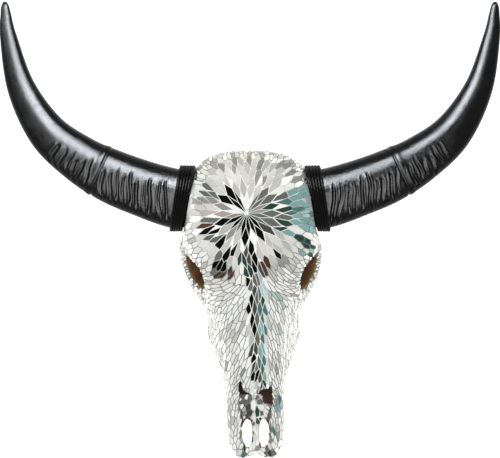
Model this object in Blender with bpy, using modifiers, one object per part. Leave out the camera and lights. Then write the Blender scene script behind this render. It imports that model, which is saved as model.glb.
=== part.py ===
"""A life-size water buffalo skull without its lower jaw, lying as it rests on a floor.

The muzzle points to -Y, the horns sweep out to +X and -X and back to +Y, and the forehead faces +Z.
It rests on its cheek teeth and on the two processes beside the condyles, all at Z = 0.
The bone is modelled whole and then parted by thin cuts along its main sutures.
"""

import collections
import math

import bmesh
import bpy
from mathutils import Matrix, Vector

MM = 0.001

# Driving sizes, in millimetres.
SUTURE_GAP = 0.3
ORIGIN_SHIFT_Y = 6.3
# The muzzle's drift to +X, at equal steps forward of Y = 0.
MUZZLE_LEAN = (0.0, 2.3, 4.2, 5.8, 7.3, 8.6, 9.3, 9.6)
MUZZLE_LEAN_STEP = 55.0

ORBIT_CENTRE = (91.0, -68.0, 104.0)
ORBIT_FACING = (0.86, -0.375, 0.36)
ORBIT_RADIUS = 34.0
ORBIT_DEPTH = 47.0
ORBIT_RIM = 4.5
# How much the opening widens on its way out of the socket, over this length.
ORBIT_FLARE = 30.0
ORBIT_FLARE_LENGTH = 60.0

# The nose's opening seen from above. Its rear edge is the point of the nasal bones, which is
# chipped on one side, between a slit along each of them.
NOSE_OUTLINE = (
    (-20.0, -338.0),
    (-25.0, -312.0),
    (-27.8, -290.0),
    (-27.8, -249.0),
    (-21.0, -249.0),
    (-21.0, -266.5),
    (0.0, -278.5),
    (13.5, -263.5),
    (20.5, -267.5),
    (24.4, -259.5),
    (24.8, -246.0),
    (30.6, -246.0),
    (30.0, -290.0),
    (26.0, -312.0),
    (20.0, -338.0),
)
# The opening through the roof of the mouth on the +X side, seen from above.
PALATE_OUTLINE = (
    (11.8, -316.0),
    (17.6, -322.5),
    (22.8, -332.0),
    (25.4, -345.0),
    (23.4, -357.0),
    (17.8, -366.0),
    (12.0, -369.0),
    (7.6, -364.5),
    (5.5, -353.0),
    (5.3, -340.0),
    (7.4, -327.0),
)
# The block that the nasal bones are parted with: Y, half width and underside.
NASAL_BLOCK = (
    (-134.0, 3.0, 129.0),
    (-142.0, 30.0, 124.0),
    (-200.0, 28.0, 102.0),
    (-230.0, 26.0, 92.0),
    (-252.0, 27.0, 86.0),
    (-300.0, 27.0, 74.0),
)

# The planes of the two cross sutures: a point on each, and the way to the part beyond it.
CHEEK_SUTURE = ((0.0, -50.0, 20.0), (0.0, 130.0, 100.0))
MUZZLE_SUTURE = ((0.0, -318.0, 34.0), (0.0, -62.0, 62.0))

TOOTH_LENGTHS = (16.0, 18.0, 20.0, 25.0, 28.0, 30.0)
TOOTH_ROW_FRONT_Y = -206.0
TOOTH_ROW_X = (47.0, 51.0, 55.0, 58.0, 59.0, 57.0)
TOOTH_WIDTH = 22.0
TOOTH_ROOT_HEIGHT = 34.0

# The cord's edges seen from above on the +X horn: its upper and its lower end, as X and Y.
CORD_INNER_EDGE = ((87.6, 102.0), (108.0, -2.0))
CORD_OUTER_EDGE = ((117.0, 102.0), (131.5, -2.0))
HORN_BASE_Z = 132.0
HORN_BASE_SIZE = (97.0, 76.0)
HORN_NECK_SIZE = (97.0, 74.0)
HORN_SEGMENTS = 20
HORN_BULGE = 0.09
# Where the horn's crest lies round it: 0 is the rear edge, 90 the top.
HORN_CREST_DEGREES = 57.0
HORN_TURNS = 5
HORN_GROOVES = 13
HORN_GROOVES_FROM = 1.1
HORN_GROOVES_TO = 4.7
HORN_GROOVE_DEPTH = 2.6
CORD_THICK = 5.8
CORD_CLEARANCE = 0.35
# How far each turn of cord stands out, at four places across its width.
CORD_PROFILE = ((0.0, 0.45), (0.22, 0.9), (0.5, 1.0), (0.78, 0.9))

VOXEL = 2.6
SKULL_TRIANGLES = 6200

Station = collections.namedtuple(
    "Station", "y half_width crown waist floor roof_power floor_power"
)

# The bone's outer form, from the poll at the back to the nostrils.
SKULL_STATIONS = (
    Station(127, 26, 134, 117, 100, 2.0, 2.0),
    Station(121, 58, 149, 118, 84, 2.1, 2.0),
    Station(108, 80, 163, 122, 62, 2.2, 2.1),
    Station(85, 95, 175, 128, 52, 2.3, 2.2),
    Station(50, 104, 182, 134, 48, 2.4, 2.2),
    Station(10, 109, 183, 136, 50, 2.4, 2.2),
    Station(-25, 109, 177, 130, 52, 2.4, 2.2),
    Station(-60, 105, 166, 112, 46, 2.3, 2.4),
    Station(-100, 94, 152, 88, 30, 2.3, 3.0),
    Station(-125, 81, 143, 70, 24, 2.2, 3.6),
    Station(-150, 75, 134, 58, 21, 2.2, 4.0),
    Station(-180, 73, 122, 52, 21, 2.1, 4.0),
    Station(-205, 66, 113, 52, 25, 2.1, 3.5),
    Station(-235, 55, 103, 54, 32, 2.2, 3.0),
    Station(-262, 49, 95, 55, 36, 2.2, 3.0),
    Station(-286, 47.5, 88, 56, 38, 2.2, 3.0),
)

HornStation = collections.namedtuple("HornStation", "x y z width depth")

# The horn's middle line and its two thicknesses, from the last turn of cord to the tip.
HORN_STATIONS = (
    HornStation(174.0, 65.5, 127, 92, 69),
    HornStation(226.5, 86.0, 121, 88, 65),
    HornStation(279.0, 114.5, 114, 78, 58),
    HornStation(334.0, 160.0, 107, 65, 51),
    HornStation(376.5, 232.5, 106, 47, 40),
    HornStation(397.0, 316.0, 113, 28, 25),
    HornStation(400.6, 350.0, 117, 18.5, 17),
    HornStation(401.6, 366.0, 119, 12.5, 12),
    HornStation(402.0, 372.5, 119.5, 5.0, 5.0),
)


def clear_scene():
    for obj in list(bpy.data.objects):
        bpy.data.objects.remove(obj)


def make_collection(name):
    collection = bpy.data.collections.new(name)
    bpy.context.scene.collection.children.link(collection)
    return collection


def make_material(name, colour, roughness, metallic=0.0):
    material = bpy.data.materials.new(name)
    material.use_nodes = True
    shader = material.node_tree.nodes["Principled BSDF"]
    shader.inputs["Base Color"].default_value = (*colour, 1.0)
    shader.inputs["Roughness"].default_value = roughness
    shader.inputs["Metallic"].default_value = metallic
    return material


def add_object(name, mesh, collection):
    obj = bpy.data.objects.new(name, mesh)
    collection.objects.link(obj)
    return obj


def mesh_from(name, bm):
    bmesh.ops.recalc_face_normals(bm, faces=bm.faces)
    mesh = bpy.data.meshes.new(name)
    bm.to_mesh(mesh)
    bm.free()
    return mesh


def smooth_value(values, place):
    """A Catmull-Rom curve through evenly counted values, read at place from 0 to len - 1."""
    last = len(values) - 1
    index = min(int(place), last - 1)
    t = place - index
    before = values[max(index - 1, 0)]
    start = values[index]
    end = values[index + 1]
    after = values[min(index + 2, last)]
    slope_in = (end - before) / 2
    slope_out = (after - start) / 2
    t2 = t * t
    t3 = t2 * t
    return (
        start * (2 * t3 - 3 * t2 + 1)
        + slope_in * (t3 - 2 * t2 + t)
        + end * (3 * t2 - 2 * t3)
        + slope_out * (t3 - t2)
    )


def smooth_station(stations, place):
    """All the sizes of a row of stations at once, between two of them."""
    columns = zip(*stations)
    return type(stations[0])(*(smooth_value(column, place) for column in columns))


def signed_power(value, power):
    return math.copysign(abs(value) ** power, value)


def section_ring(station, count):
    """One closed cross-section of the skull, wider or squarer as its station says."""
    ring = []
    for i in range(count):
        angle = 2 * math.pi * i / count
        c, s = math.cos(angle), math.sin(angle)
        power = 2 / (station.roof_power if s >= 0 else station.floor_power)
        reach = (station.crown if s >= 0 else station.floor) - station.waist
        x = station.half_width * signed_power(c, power)
        z = station.waist + reach * abs(s) ** power
        ring.append(Vector((x, station.y, z)) * MM)
    return ring


def loft(name, rings, collection):
    """A closed skin over rings of equal count, with a flat cap at each end."""
    bm = bmesh.new()
    rows = [[bm.verts.new(point) for point in ring] for ring in rings]
    for near, far in zip(rows, rows[1:]):
        for i in range(len(near)):
            j = (i + 1) % len(near)
            bm.faces.new((near[i], near[j], far[j], far[i]))
    bm.faces.new(rows[0])
    bm.faces.new(rows[-1])
    return add_object(name, mesh_from(name, bm), collection)


def ellipsoid(name, centre, radii, collection, facing=None, segments=32):
    """A stretched sphere. Its third radius lies along facing."""
    bm = bmesh.new()
    bmesh.ops.create_uvsphere(bm, u_segments=segments, v_segments=segments // 2, radius=1.0)
    turn = Matrix.Identity(4)
    if facing is not None:
        turn = Vector(facing).to_track_quat("Z", "Y").to_matrix().to_4x4()
    size = Matrix.Diagonal((*radii, 1.0))
    place = Matrix.Translation(Vector(centre) * MM) @ turn @ Matrix.Scale(MM, 4) @ size
    bmesh.ops.transform(bm, matrix=place, verts=bm.verts)
    return add_object(name, mesh_from(name, bm), collection)


def cone(name, start, end, start_radius, end_radius, collection, segments=24):
    """A round bar or a tapered one from start to end."""
    start, end = Vector(start), Vector(end)
    axis = end - start
    bm = bmesh.new()
    bmesh.ops.create_cone(
        bm,
        cap_ends=True,
        segments=segments,
        radius1=start_radius,
        radius2=end_radius,
        depth=axis.length,
    )
    turn = axis.to_track_quat("Z", "Y").to_matrix().to_4x4()
    place = Matrix.Scale(MM, 4) @ Matrix.Translation((start + end) / 2) @ turn
    bmesh.ops.transform(bm, matrix=place, verts=bm.verts)
    return add_object(name, mesh_from(name, bm), collection)


def torus(name, centre, facing, ring_radius, tube_radius, collection):
    """A ring that faces along facing."""
    bpy.ops.mesh.primitive_torus_add(
        major_segments=40,
        minor_segments=12,
        major_radius=ring_radius * MM,
        minor_radius=tube_radius * MM,
    )
    obj = bpy.context.object
    turn = Vector(facing).to_track_quat("Z", "Y").to_matrix().to_4x4()
    obj.data.transform(Matrix.Translation(Vector(centre) * MM) @ turn)
    obj.name = name
    for other in obj.users_collection:
        other.objects.unlink(obj)
    collection.objects.link(obj)
    return obj


def bar(name, points, radii, collection, flatten=1.0, flatten_axis=2):
    """A smooth tube through points with a radius at each, flattened along one world axis."""
    curve = bpy.data.curves.new(name, "CURVE")
    curve.dimensions = "3D"
    curve.bevel_depth = MM
    curve.bevel_resolution = 4
    curve.use_fill_caps = True
    spline = curve.splines.new("POLY")
    steps = 6 * (len(points) - 1)
    spline.points.add(steps)
    squash = [1.0, 1.0, 1.0]
    squash[flatten_axis] = flatten
    columns = list(zip(*points))
    for i, point in enumerate(spline.points):
        place = i / 6
        at = [smooth_value(column, place) for column in columns]
        point.co = (*(MM * a / s for a, s in zip(at, squash)), 1.0)
        point.radius = smooth_value(radii, place)
    obj = add_object(name, curve, collection)
    bpy.context.view_layer.update()
    graph = bpy.context.evaluated_depsgraph_get()
    mesh = bpy.data.meshes.new_from_object(obj.evaluated_get(graph))
    bpy.data.objects.remove(obj)
    bm = bmesh.new()
    bm.from_mesh(mesh)
    bmesh.ops.remove_doubles(bm, verts=bm.verts, dist=0.01 * MM)
    bmesh.ops.transform(bm, matrix=Matrix.Diagonal((*squash, 1.0)), verts=bm.verts)
    return add_object(name, mesh_from(name, bm), collection)


def prism(name, outline, low, high, collection):
    """An upright block whose outline is given as seen from above."""
    rings = [[Vector((x, y, z)) * MM for x, y in outline] for z in (low, high)]
    return loft(name, rings, collection)


def half_space(name, point, normal, collection, size=900.0):
    """A big block that fills everything on the side of a plane that normal points to."""
    normal = Vector(normal).normalized()
    turn = normal.to_track_quat("Z", "Y").to_matrix().to_4x4()
    bm = bmesh.new()
    bmesh.ops.create_cube(bm, size=size * MM)
    lift = Matrix.Translation((0, 0, size * MM / 2))
    place = Matrix.Translation(Vector(point) * MM) @ turn @ lift
    bmesh.ops.transform(bm, matrix=place, verts=bm.verts)
    return add_object(name, mesh_from(name, bm), collection)


def apply_modifiers(obj):
    bpy.context.view_layer.update()
    graph = bpy.context.evaluated_depsgraph_get()
    mesh = bpy.data.meshes.new_from_object(obj.evaluated_get(graph))
    obj.modifiers.clear()
    obj.data = mesh
    return obj


def combine(obj, others, operation, solver="MANIFOLD"):
    """Joins others to obj or cuts them from it, in one Boolean, and removes them."""
    helpers = bpy.data.collections.new(operation.lower())
    bpy.context.scene.collection.children.link(helpers)
    for other in others:
        for user in other.users_collection:
            user.objects.unlink(other)
        helpers.objects.link(other)
    modifier = obj.modifiers.new(operation.lower(), "BOOLEAN")
    modifier.operation = operation
    modifier.solver = solver
    modifier.operand_type = "COLLECTION"
    modifier.collection = helpers
    apply_modifiers(obj)
    for other in others:
        bpy.data.objects.remove(other)
    bpy.data.collections.remove(helpers)
    return obj


def keep_largest(obj):
    """Keeps only the largest closed surface of a mesh."""
    bm = bmesh.new()
    bm.from_mesh(obj.data)
    left = set(bm.verts)
    groups = []
    while left:
        stack = [left.pop()]
        group = set(stack)
        while stack:
            for edge in stack.pop().link_edges:
                for vert in edge.verts:
                    if vert in left:
                        left.discard(vert)
                        group.add(vert)
                        stack.append(vert)
        groups.append(group)
    groups.sort(key=len)
    loose = [vert for group in groups[:-1] for vert in group]
    bmesh.ops.delete(bm, geom=loose, context="VERTS")
    bm.to_mesh(obj.data)
    bm.free()
    return obj


def soften(obj, voxel, rounds):
    """Fuses the pieces of a mesh into one even skin and rounds its corners."""
    remesh = obj.modifiers.new("fuse", "REMESH")
    remesh.mode = "VOXEL"
    remesh.voxel_size = voxel * MM
    smooth = obj.modifiers.new("round", "SMOOTH")
    smooth.factor = 0.5
    smooth.iterations = rounds
    return apply_modifiers(obj)


def thin_out(obj, triangles):
    """Leaves about this many triangles, most of them where the form bends."""
    have = sum(len(p.vertices) - 2 for p in obj.data.polygons)
    modifier = obj.modifiers.new("thin out", "DECIMATE")
    modifier.ratio = min(1.0, triangles / have)
    return apply_modifiers(obj)


def both_sides(point, side):
    return (side * point[0], point[1], point[2])


def mirrored(points, side):
    return [both_sides(point, side) for point in points]


def side_mark(side):
    return "right" if side > 0 else "left"


def horn_bosses(collection):
    """The stumps of bone that the horns grow from, and the parts at the back of the skull."""
    made = []
    for side in (-1, 1):
        mark = side_mark(side)
        made.append(
            ellipsoid(f"boss_{mark}", both_sides((68, 52, 132), side), (46, 54, 41), collection)
        )
        made.append(
            cone(
                f"boss_neck_{mark}",
                both_sides((58, 50, 132), side),
                both_sides((130, 54, 132), side),
                45,
                43,
                collection,
                segments=32,
            )
        )
        made.append(
            ellipsoid(f"condyle_{mark}", both_sides((25, 104, 42), side), (17, 16, 22), collection)
        )
        process = ((54, 72, 66), (51, 80, 36), (46, 80, -10))
        made.append(
            bar(f"paracondylar_{mark}", mirrored(process, side), [19, 13, 9.5], collection, 0.8, 0)
        )
        made.append(
            ellipsoid(f"bulla_{mark}", both_sides((38, 42, 40), side), (13, 20, 17), collection)
        )
        pterygoid = ((27, -62, 46), (25, -34, 38), (23, -8, 48))
        made.append(
            bar(f"pterygoid_{mark}", mirrored(pterygoid, side), [10, 8, 7], collection, 0.5, 0)
        )
        ridge = ((54, -60, 36), (58, -106, 32), (57, -160, 32), (47, -210, 36))
        made.append(
            bar(f"alveolar_ridge_{mark}", mirrored(ridge, side), [14, 17, 17, 12], collection)
        )
        made.append(
            ellipsoid(
                f"tuberosity_{mark}", both_sides((63, -172, 58), side), (14, 24, 14), collection
            )
        )
    base = ((0, 98, 46), (0, 60, 48), (0, 20, 52), (0, -14, 60))
    made.append(bar("basioccipital", base, [24, 21, 19, 18], collection))
    return made


def cheek_arches(collection):
    """The eye rims and the arches that run from the cheeks to the ears, over the temples."""
    made = []
    for side in (-1, 1):
        mark = side_mark(side)
        centre = both_sides(ORBIT_CENTRE, side)
        facing = both_sides(ORBIT_FACING, side)
        made.append(
            torus(f"rim_{mark}", centre, facing, ORBIT_RADIUS + ORBIT_RIM, ORBIT_RIM, collection)
        )
        arch = (
            (62, -138, 62),
            (78, -110, 64),
            (96, -82, 68),
            (108, -50, 70),
            (106, -10, 68),
            (97, 26, 68),
            (80, 56, 72),
        )
        made.append(
            bar(
                f"arch_{mark}",
                mirrored(arch, side),
                [14, 15, 14, 12, 10, 11, 15],
                collection,
                flatten=0.72,
                flatten_axis=0,
            )
        )
        made.append(
            ellipsoid(f"eye_floor_{mark}", both_sides((86, -60, 66), side), (24, 27, 15), collection)
        )
        strut = ((92, -14, 146), (105, -25, 122), (109, -29, 98), (107, -34, 74))
        made.append(
            bar(
                f"eye_strut_{mark}",
                mirrored(strut, side),
                [19, 13, 10.5, 13],
                collection,
                flatten=0.7,
                flatten_axis=0,
            )
        )
    return made


def muzzle_parts(collection):
    """The roof of the mouth and the two long bars that end in the muzzle's lobes."""
    made = []
    for side in (-1, 1):
        mark = side_mark(side)
        outer = (
            (35, -236, 78),
            (35, -276, 70),
            (35, -312, 59),
            (34, -340, 48),
            (31, -362, 38),
            (24, -375, 33.5),
        )
        made.append(
            bar(
                f"nasal_process_{mark}",
                mirrored(outer, side),
                [12, 13, 13.5, 12.8, 12.5, 10.5],
                collection,
                flatten=0.8,
            )
        )
        made.append(
            ellipsoid(f"lobe_{mark}", both_sides((21, -378.5, 33), side), (18, 7.5, 8.5), collection)
        )
        inner = ((5, -304, 42), (4, -336, 41), (3.8, -362, 38), (5, -379, 34))
        made.append(
            bar(f"palatine_process_{mark}", mirrored(inner, side), [7, 5, 4.8, 5.5], collection)
        )
    palate = [
        section_ring(Station(y, half, roof, mid, low, 4, 4), 24)
        for y, half, roof, mid, low in (
            (-230, 44, 48, 42, 34),
            (-275, 40, 48, 42, 35),
            (-300, 37, 47, 41, 35),
            (-318, 33, 46, 41, 35),
            (-340, 30, 44, 39, 34),
            (-360, 26, 41, 37, 32),
            (-376, 16, 38, 34, 29),
        )
    ]
    made.append(loft("palate", palate, collection))
    vomer = ((0, -226, 58), (0, -276, 55), (0, -316, 47))
    made.append(bar("vomer", vomer, [9, 8, 5], collection, 0.6, 0))
    return made


def temple_cutters(collection):
    """The hollows at the temples, which run down behind the arches, and those of the nape."""
    made = []
    for side in (-1, 1):
        mark = side_mark(side)
        made.append(
            ellipsoid(
                f"temple_{mark}",
                both_sides((97, 9, 66), side),
                (40, 38, 42),
                collection,
            )
        )
        made.append(
            ellipsoid(
                f"under_temple_{mark}",
                both_sides((90, 2, 32), side),
                (34, 32, 28),
                collection,
            )
        )
        made.append(
            ellipsoid(
                f"nape_hollow_{mark}", both_sides((42, 138, 92), side), (28, 22, 28), collection
            )
        )
    return made


def skull_cutters(collection):
    """The eye sockets, nose, palate, ear and spinal openings."""
    made = []
    for side in (-1, 1):
        mark = side_mark(side)
        facing = Vector(both_sides(ORBIT_FACING, side))
        rim = Vector(both_sides(ORBIT_CENTRE, side))
        radius = ORBIT_RADIUS
        made.append(
            ellipsoid(f"socket_{mark}", rim, (radius, radius, ORBIT_DEPTH), collection, facing)
        )
        outside = rim + facing * ORBIT_FLARE_LENGTH
        wide = radius + ORBIT_FLARE
        made.append(cone(f"eye_{mark}", rim - facing, outside, radius, wide, collection, 40))
        made.append(
            cone(
                f"ear_{mark}",
                both_sides((108, 64, 88), side),
                both_sides((58, 50, 76), side),
                6.5,
                4,
                collection,
            )
        )
        made.append(
            cone(
                f"cheek_foramen_{mark}",
                both_sides((66, -246, 62), side),
                both_sides((40, -212, 66), side),
                6,
                3.5,
                collection,
            )
        )
        outline = [(side * x, y) for x, y in PALATE_OUTLINE]
        made.append(prism(f"palate_opening_{mark}", outline, 15, 75, collection))
    nose = [
        section_ring(Station(y, half, roof, mid, low, 2.6, 3), 28)
        for y, half, roof, mid, low in (
            (-334, 22, 96, 62, 48),
            (-318, 25, 90, 62, 48),
            (-284, 29, 81, 62, 48),
            (-262, 29, 86, 62, 48),
            (-230, 26, 92, 62, 48),
            (-196, 20, 92, 66, 50),
            (-172, 8, 84, 68, 56),
        )
    ]
    made.append(loft("nose", nose, collection))
    made.append(prism("nose_front", NOSE_OUTLINE, 49, 130, collection))
    made.append(ellipsoid("palate_vault", (0, -130, 16), (38, 118, 22), collection))
    made.append(ellipsoid("throat", (0, -20, 30), (18, 62, 28), collection))
    made.append(cone("spinal_opening", (0, 140, 56), (0, 52, 60), 17, 14, collection, 32))
    return made


def whole_skull(collection):
    """The bone in one piece, before it is parted."""
    last = len(SKULL_STATIONS) - 1
    steps = 4 * last
    rings = [
        section_ring(smooth_station(SKULL_STATIONS, last * i / steps), 48)
        for i in range(steps + 1)
    ]
    skull = loft("skull", rings, collection)
    combine(skull, horn_bosses(collection), "UNION")
    combine(skull, temple_cutters(collection), "DIFFERENCE")
    combine(skull, cheek_arches(collection) + muzzle_parts(collection), "UNION")
    combine(skull, skull_cutters(collection), "DIFFERENCE")
    soften(skull, VOXEL, 5)
    return keep_largest(skull)


def horn_plane(near):
    """The inner or the outer plane of the cord on the +X horn: a point on it and its normal."""
    top, bottom = CORD_INNER_EDGE if near else CORD_OUTER_EDGE
    along = Vector((top[0] - bottom[0], top[1] - bottom[1], 0)).normalized()
    normal = along.cross(Vector((0, 0, 1)))
    if normal.x < 0:
        normal.negate()
    middle = Vector(((top[0] + bottom[0]) / 2, (top[1] + bottom[1]) / 2, HORN_BASE_Z))
    return middle, normal


def trim_flats(skull, collection):
    """Cuts the bone off flat where each horn begins and where it rests."""
    middle, normal = horn_plane(True)
    cutters = [half_space("floor_cut", (0, 0, 0), (0, 0, -1), collection)]
    for side in (-1, 1):
        cutter = half_space(
            f"horn_cut_{side_mark(side)}",
            both_sides(middle - normal * SUTURE_GAP, side),
            both_sides(normal, side),
            collection,
            size=160.0,
        )
        cutters.append(cutter)
    return combine(skull, cutters, "DIFFERENCE")


def copy_of(obj, name, collection):
    other = add_object(name, obj.data.copy(), collection)
    return other


def lean(obj):
    """Leans the muzzle gently to +X, as on the real skull."""
    last = len(MUZZLE_LEAN) - 1
    for vert in obj.data.vertices:
        place = min(max(-vert.co.y / MM / MUZZLE_LEAN_STEP, 0.0), float(last))
        vert.co.x += smooth_value(MUZZLE_LEAN, place) * MM
    return obj


def nasal_block(collection, grow):
    """The block that holds the two nasal bones, grown by the width of a suture."""
    rows = []
    for y, half, low in NASAL_BLOCK:
        corners = ((-1, low - grow), (1, low - grow), (1, 160), (-1, 160))
        rows.append([Vector((x * (half + grow), y, z)) * MM for x, z in corners])
    return lean(loft("nasal_block", rows, collection))


def muzzle_side(side, collection):
    """Everything of the muzzle on one side of its middle line."""
    near, far = sorted((side * SUTURE_GAP / 2, side * 120))
    rows = []
    for y in range(-420, -200, 20):
        corners = ((near, -10), (far, -10), (far, 150), (near, 150))
        rows.append([Vector((x, y, z)) * MM for x, z in corners])
    return lean(loft("muzzle_side", rows, collection))


def part_across(obj, name, point, normal, collection):
    """Parts off what lies on the far side of a plane, and leaves a suture's gap beside it."""
    point = Vector(point)
    normal = Vector(normal).normalized()
    far = copy_of(obj, name, collection)
    combine(far, [half_space("far", point, normal, collection)], "INTERSECT")
    near = half_space("near", point - normal * SUTURE_GAP, normal, collection)
    combine(obj, [near], "DIFFERENCE")
    return far


def part_the_bone(skull, collection):
    """Parts the bone along its main sutures, each one a thin cut."""
    nasal = copy_of(skull, "nasal_bones", collection)
    combine(nasal, [nasal_block(collection, 0.0)], "INTERSECT")
    combine(skull, [nasal_block(collection, SUTURE_GAP)], "DIFFERENCE")
    cranium = part_across(skull, "cranium", *CHEEK_SUTURE, collection)
    muzzle = part_across(skull, "muzzle", *MUZZLE_SUTURE, collection)
    skull.name = "face"
    bones = [cranium, skull, nasal]
    for side in (-1, 1):
        half = copy_of(muzzle, f"premaxilla_{side_mark(side)}", collection)
        combine(half, [muzzle_side(side, collection)], "INTERSECT")
        bones.append(half)
    bpy.data.objects.remove(muzzle)
    for bone in bones:
        keep_largest(bone)
    return bones


def tooth(name, x, y, length, width, lobes, collection):
    """One cheek tooth: a flat chewing face at Z = 0 and a root sunk into the jaw."""
    count = 20 if lobes == 2 else 12
    rings = []
    for z, grow in ((0.0, 0.90), (2.2, 1.0), (12.0, 0.96), (TOOTH_ROOT_HEIGHT, 0.80)):
        ring = []
        for i in range(count):
            angle = 2 * math.pi * i / count
            c, s = math.cos(angle), math.sin(angle)
            along = signed_power(s, 0.6)
            waist = 1.0 - 0.14 * math.cos(math.pi * along) ** 2 if lobes == 2 else 1.0
            ring.append(
                Vector(
                    (
                        x + grow * waist * width / 2 * signed_power(c, 0.6),
                        y + grow * length / 2 * along,
                        z,
                    )
                )
                * MM
            )
        rings.append(ring)
    return loft(name, rings, collection)


def cheek_teeth(collection):
    """Three premolars and three two-lobed molars in each row."""
    made = []
    for side in (-1, 1):
        y = TOOTH_ROW_FRONT_Y
        for i, length in enumerate(TOOTH_LENGTHS):
            middle = y + length / 2
            y += length
            x = smooth_value(TOOTH_ROW_X, i)
            lobes = 2 if i > 2 else 1
            width = TOOTH_WIDTH * (0.82 if i == 0 else 1.0)
            name = f"tooth_{side_mark(side)}_{i}"
            made.append(lean(tooth(name, side * x, middle, length - 0.9, width, lobes, collection)))
    return made


def horn_rings(side, step_places):
    """Cross-sections of a horn at each place along its middle line."""
    middle, normal = horn_plane(True)
    first = HornStation(middle.x, middle.y, middle.z, *HORN_BASE_SIZE)
    outer_middle, outer_normal = horn_plane(False)
    second = HornStation(outer_middle.x, outer_middle.y, outer_middle.z, *HORN_NECK_SIZE)
    stations = (first, second, *HORN_STATIONS)
    rings = []
    for place, inset in step_places:
        if place < 1:
            here = HornStation(*(a + (b - a) * place for a, b in zip(first, second)))
            along = normal.lerp(outer_normal, place).normalized()
        else:
            here = smooth_station(stations, place)
            ahead = smooth_station(stations, min(place + 0.05, len(stations) - 1))
            behind = smooth_station(stations, place - 0.05)
            along = Vector((ahead.x - behind.x, ahead.y - behind.y, ahead.z - behind.z)).normalized()
            if place < 1.6:
                along = outer_normal.lerp(along, (place - 1) / 0.6).normalized()
        rings.append(horn_ring(here, along, inset, side))
    return rings


def horn_ring(here, along, inset, side):
    """One cross-section of a horn: a rounded triangle whose crest lies forward of the top."""
    wide = Vector((0, 0, 1)).cross(along).normalized()
    deep = along.cross(wide).normalized()
    centre = Vector((here.x, here.y, here.z))
    ring = []
    for i in range(HORN_SEGMENTS):
        angle = 2 * math.pi * i / HORN_SEGMENTS
        bulge = 1 + HORN_BULGE * math.cos(3 * (angle - math.radians(HORN_CREST_DEGREES)))
        dent = inset * groove_share(math.degrees(angle))
        out = wide * ((here.width / 2 - dent) * bulge * math.cos(angle) + HORN_BULGE * here.width / 2)
        up = deep * ((here.depth / 2 - dent) * bulge * math.sin(angle))
        point = centre + out + up
        ring.append(Vector((side * point.x, point.y, point.z)) * MM)
    return ring


def groove_share(degrees):
    """How deep a growth groove is around the horn: full on its front and outer faces."""
    if 60 <= degrees <= 200:
        return 1.0
    if degrees < 60:
        return max(0.0, 1 - (60 - degrees) / 40)
    return max(0.0, 1 - (degrees - 200) / 50)


def horn(side, collection):
    """One horn, with its growth grooves over the lower part and a plain tip."""
    places = [(0.0, 0.0), (0.5, 0.0), (1.0, 0.0)]
    start, end = HORN_GROOVES_FROM, HORN_GROOVES_TO
    for i in range(HORN_GROOVES):
        at = start + (end - start) * i / HORN_GROOVES
        step = (end - start) / HORN_GROOVES
        places.append((at + 0.30 * step, 0.0))
        places.append((at + 0.72 * step, HORN_GROOVE_DEPTH))
    tip = float(len(HORN_STATIONS) + 1)
    rest = [end + (tip - end) * i / 15 for i in range(1, 16)]
    places.extend((place, 0.0) for place in rest)
    rings = horn_rings(side, places)
    return loft(f"horn_{side_mark(side)}", rings, collection)


def binding(side, collection):
    """The turns of round cord, wound tight on the root of the horn, as one sleeve."""
    profile = []
    for turn in range(HORN_TURNS):
        for t, lift in CORD_PROFILE:
            profile.append(((turn + t) / HORN_TURNS, lift))
    places = [(place, -CORD_CLEARANCE - CORD_THICK * lift) for place, lift in profile]
    outer = horn_rings_even(side, places)
    inner = horn_rings_even(side, [(places[-1][0], -CORD_CLEARANCE), (places[0][0], -CORD_CLEARANCE)])
    rows = outer + inner
    bm = bmesh.new()
    made = [[bm.verts.new(point) for point in ring] for ring in rows]
    for i in range(len(made)):
        near, far = made[i], made[(i + 1) % len(made)]
        for j in range(HORN_SEGMENTS):
            k = (j + 1) % HORN_SEGMENTS
            bm.faces.new((near[j], near[k], far[k], far[j]))
    return add_object(f"binding_{side_mark(side)}", mesh_from("binding", bm), collection)


def horn_rings_even(side, places):
    """Cross-sections like the horn's own, but grown evenly all round."""
    middle, normal = horn_plane(True)
    outer_middle, outer_normal = horn_plane(False)
    first = HornStation(middle.x, middle.y, middle.z, *HORN_BASE_SIZE)
    second = HornStation(outer_middle.x, outer_middle.y, outer_middle.z, *HORN_NECK_SIZE)
    rings = []
    for place, inset in places:
        here = HornStation(*(a + (b - a) * place for a, b in zip(first, second)))
        grown = here._replace(width=here.width - 2 * inset, depth=here.depth - 2 * inset)
        along = normal.lerp(outer_normal, place).normalized()
        rings.append(horn_ring(grown, along, 0.0, side))
    return rings


def main():
    clear_scene()
    collection = make_collection("buffalo skull")
    skull = whole_skull(collection)
    thin_out(skull, SKULL_TRIANGLES)
    lean(skull)
    trim_flats(skull, collection)
    bones = part_the_bone(skull, collection)
    face = bones[1]
    combine(face, cheek_teeth(collection), "UNION")
    for bone in bones:
        colour = (0.80, 0.80, 0.78)
        bone.data.materials.append(make_material(bone.name, colour, 0.35))
    for side in (-1, 1):
        made = horn(side, collection)
        made.data.materials.append(make_material(made.name, (0.02, 0.02, 0.024), 0.25))
        made = binding(side, collection)
        made.data.materials.append(make_material(made.name, (0.012, 0.012, 0.012), 0.6))
    for obj in collection.objects:
        obj.data.transform(Matrix.Translation((0, ORIGIN_SHIFT_Y * MM, 0)))
        obj.data.name = obj.name


main()
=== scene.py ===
"""Looks of a mosaic buffalo skull: bone clad in mirror tiles, black horns and cord windings.

The file is laid out as a Blender add-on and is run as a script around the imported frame.
"""

import math
from typing import NamedTuple

import bmesh
import bpy
import numpy as np
from bpy.props import FloatProperty, FloatVectorProperty, IntProperty, PointerProperty
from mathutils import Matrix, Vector
from mathutils.bvhtree import BVHTree
from mathutils.kdtree import KDTree


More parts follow.
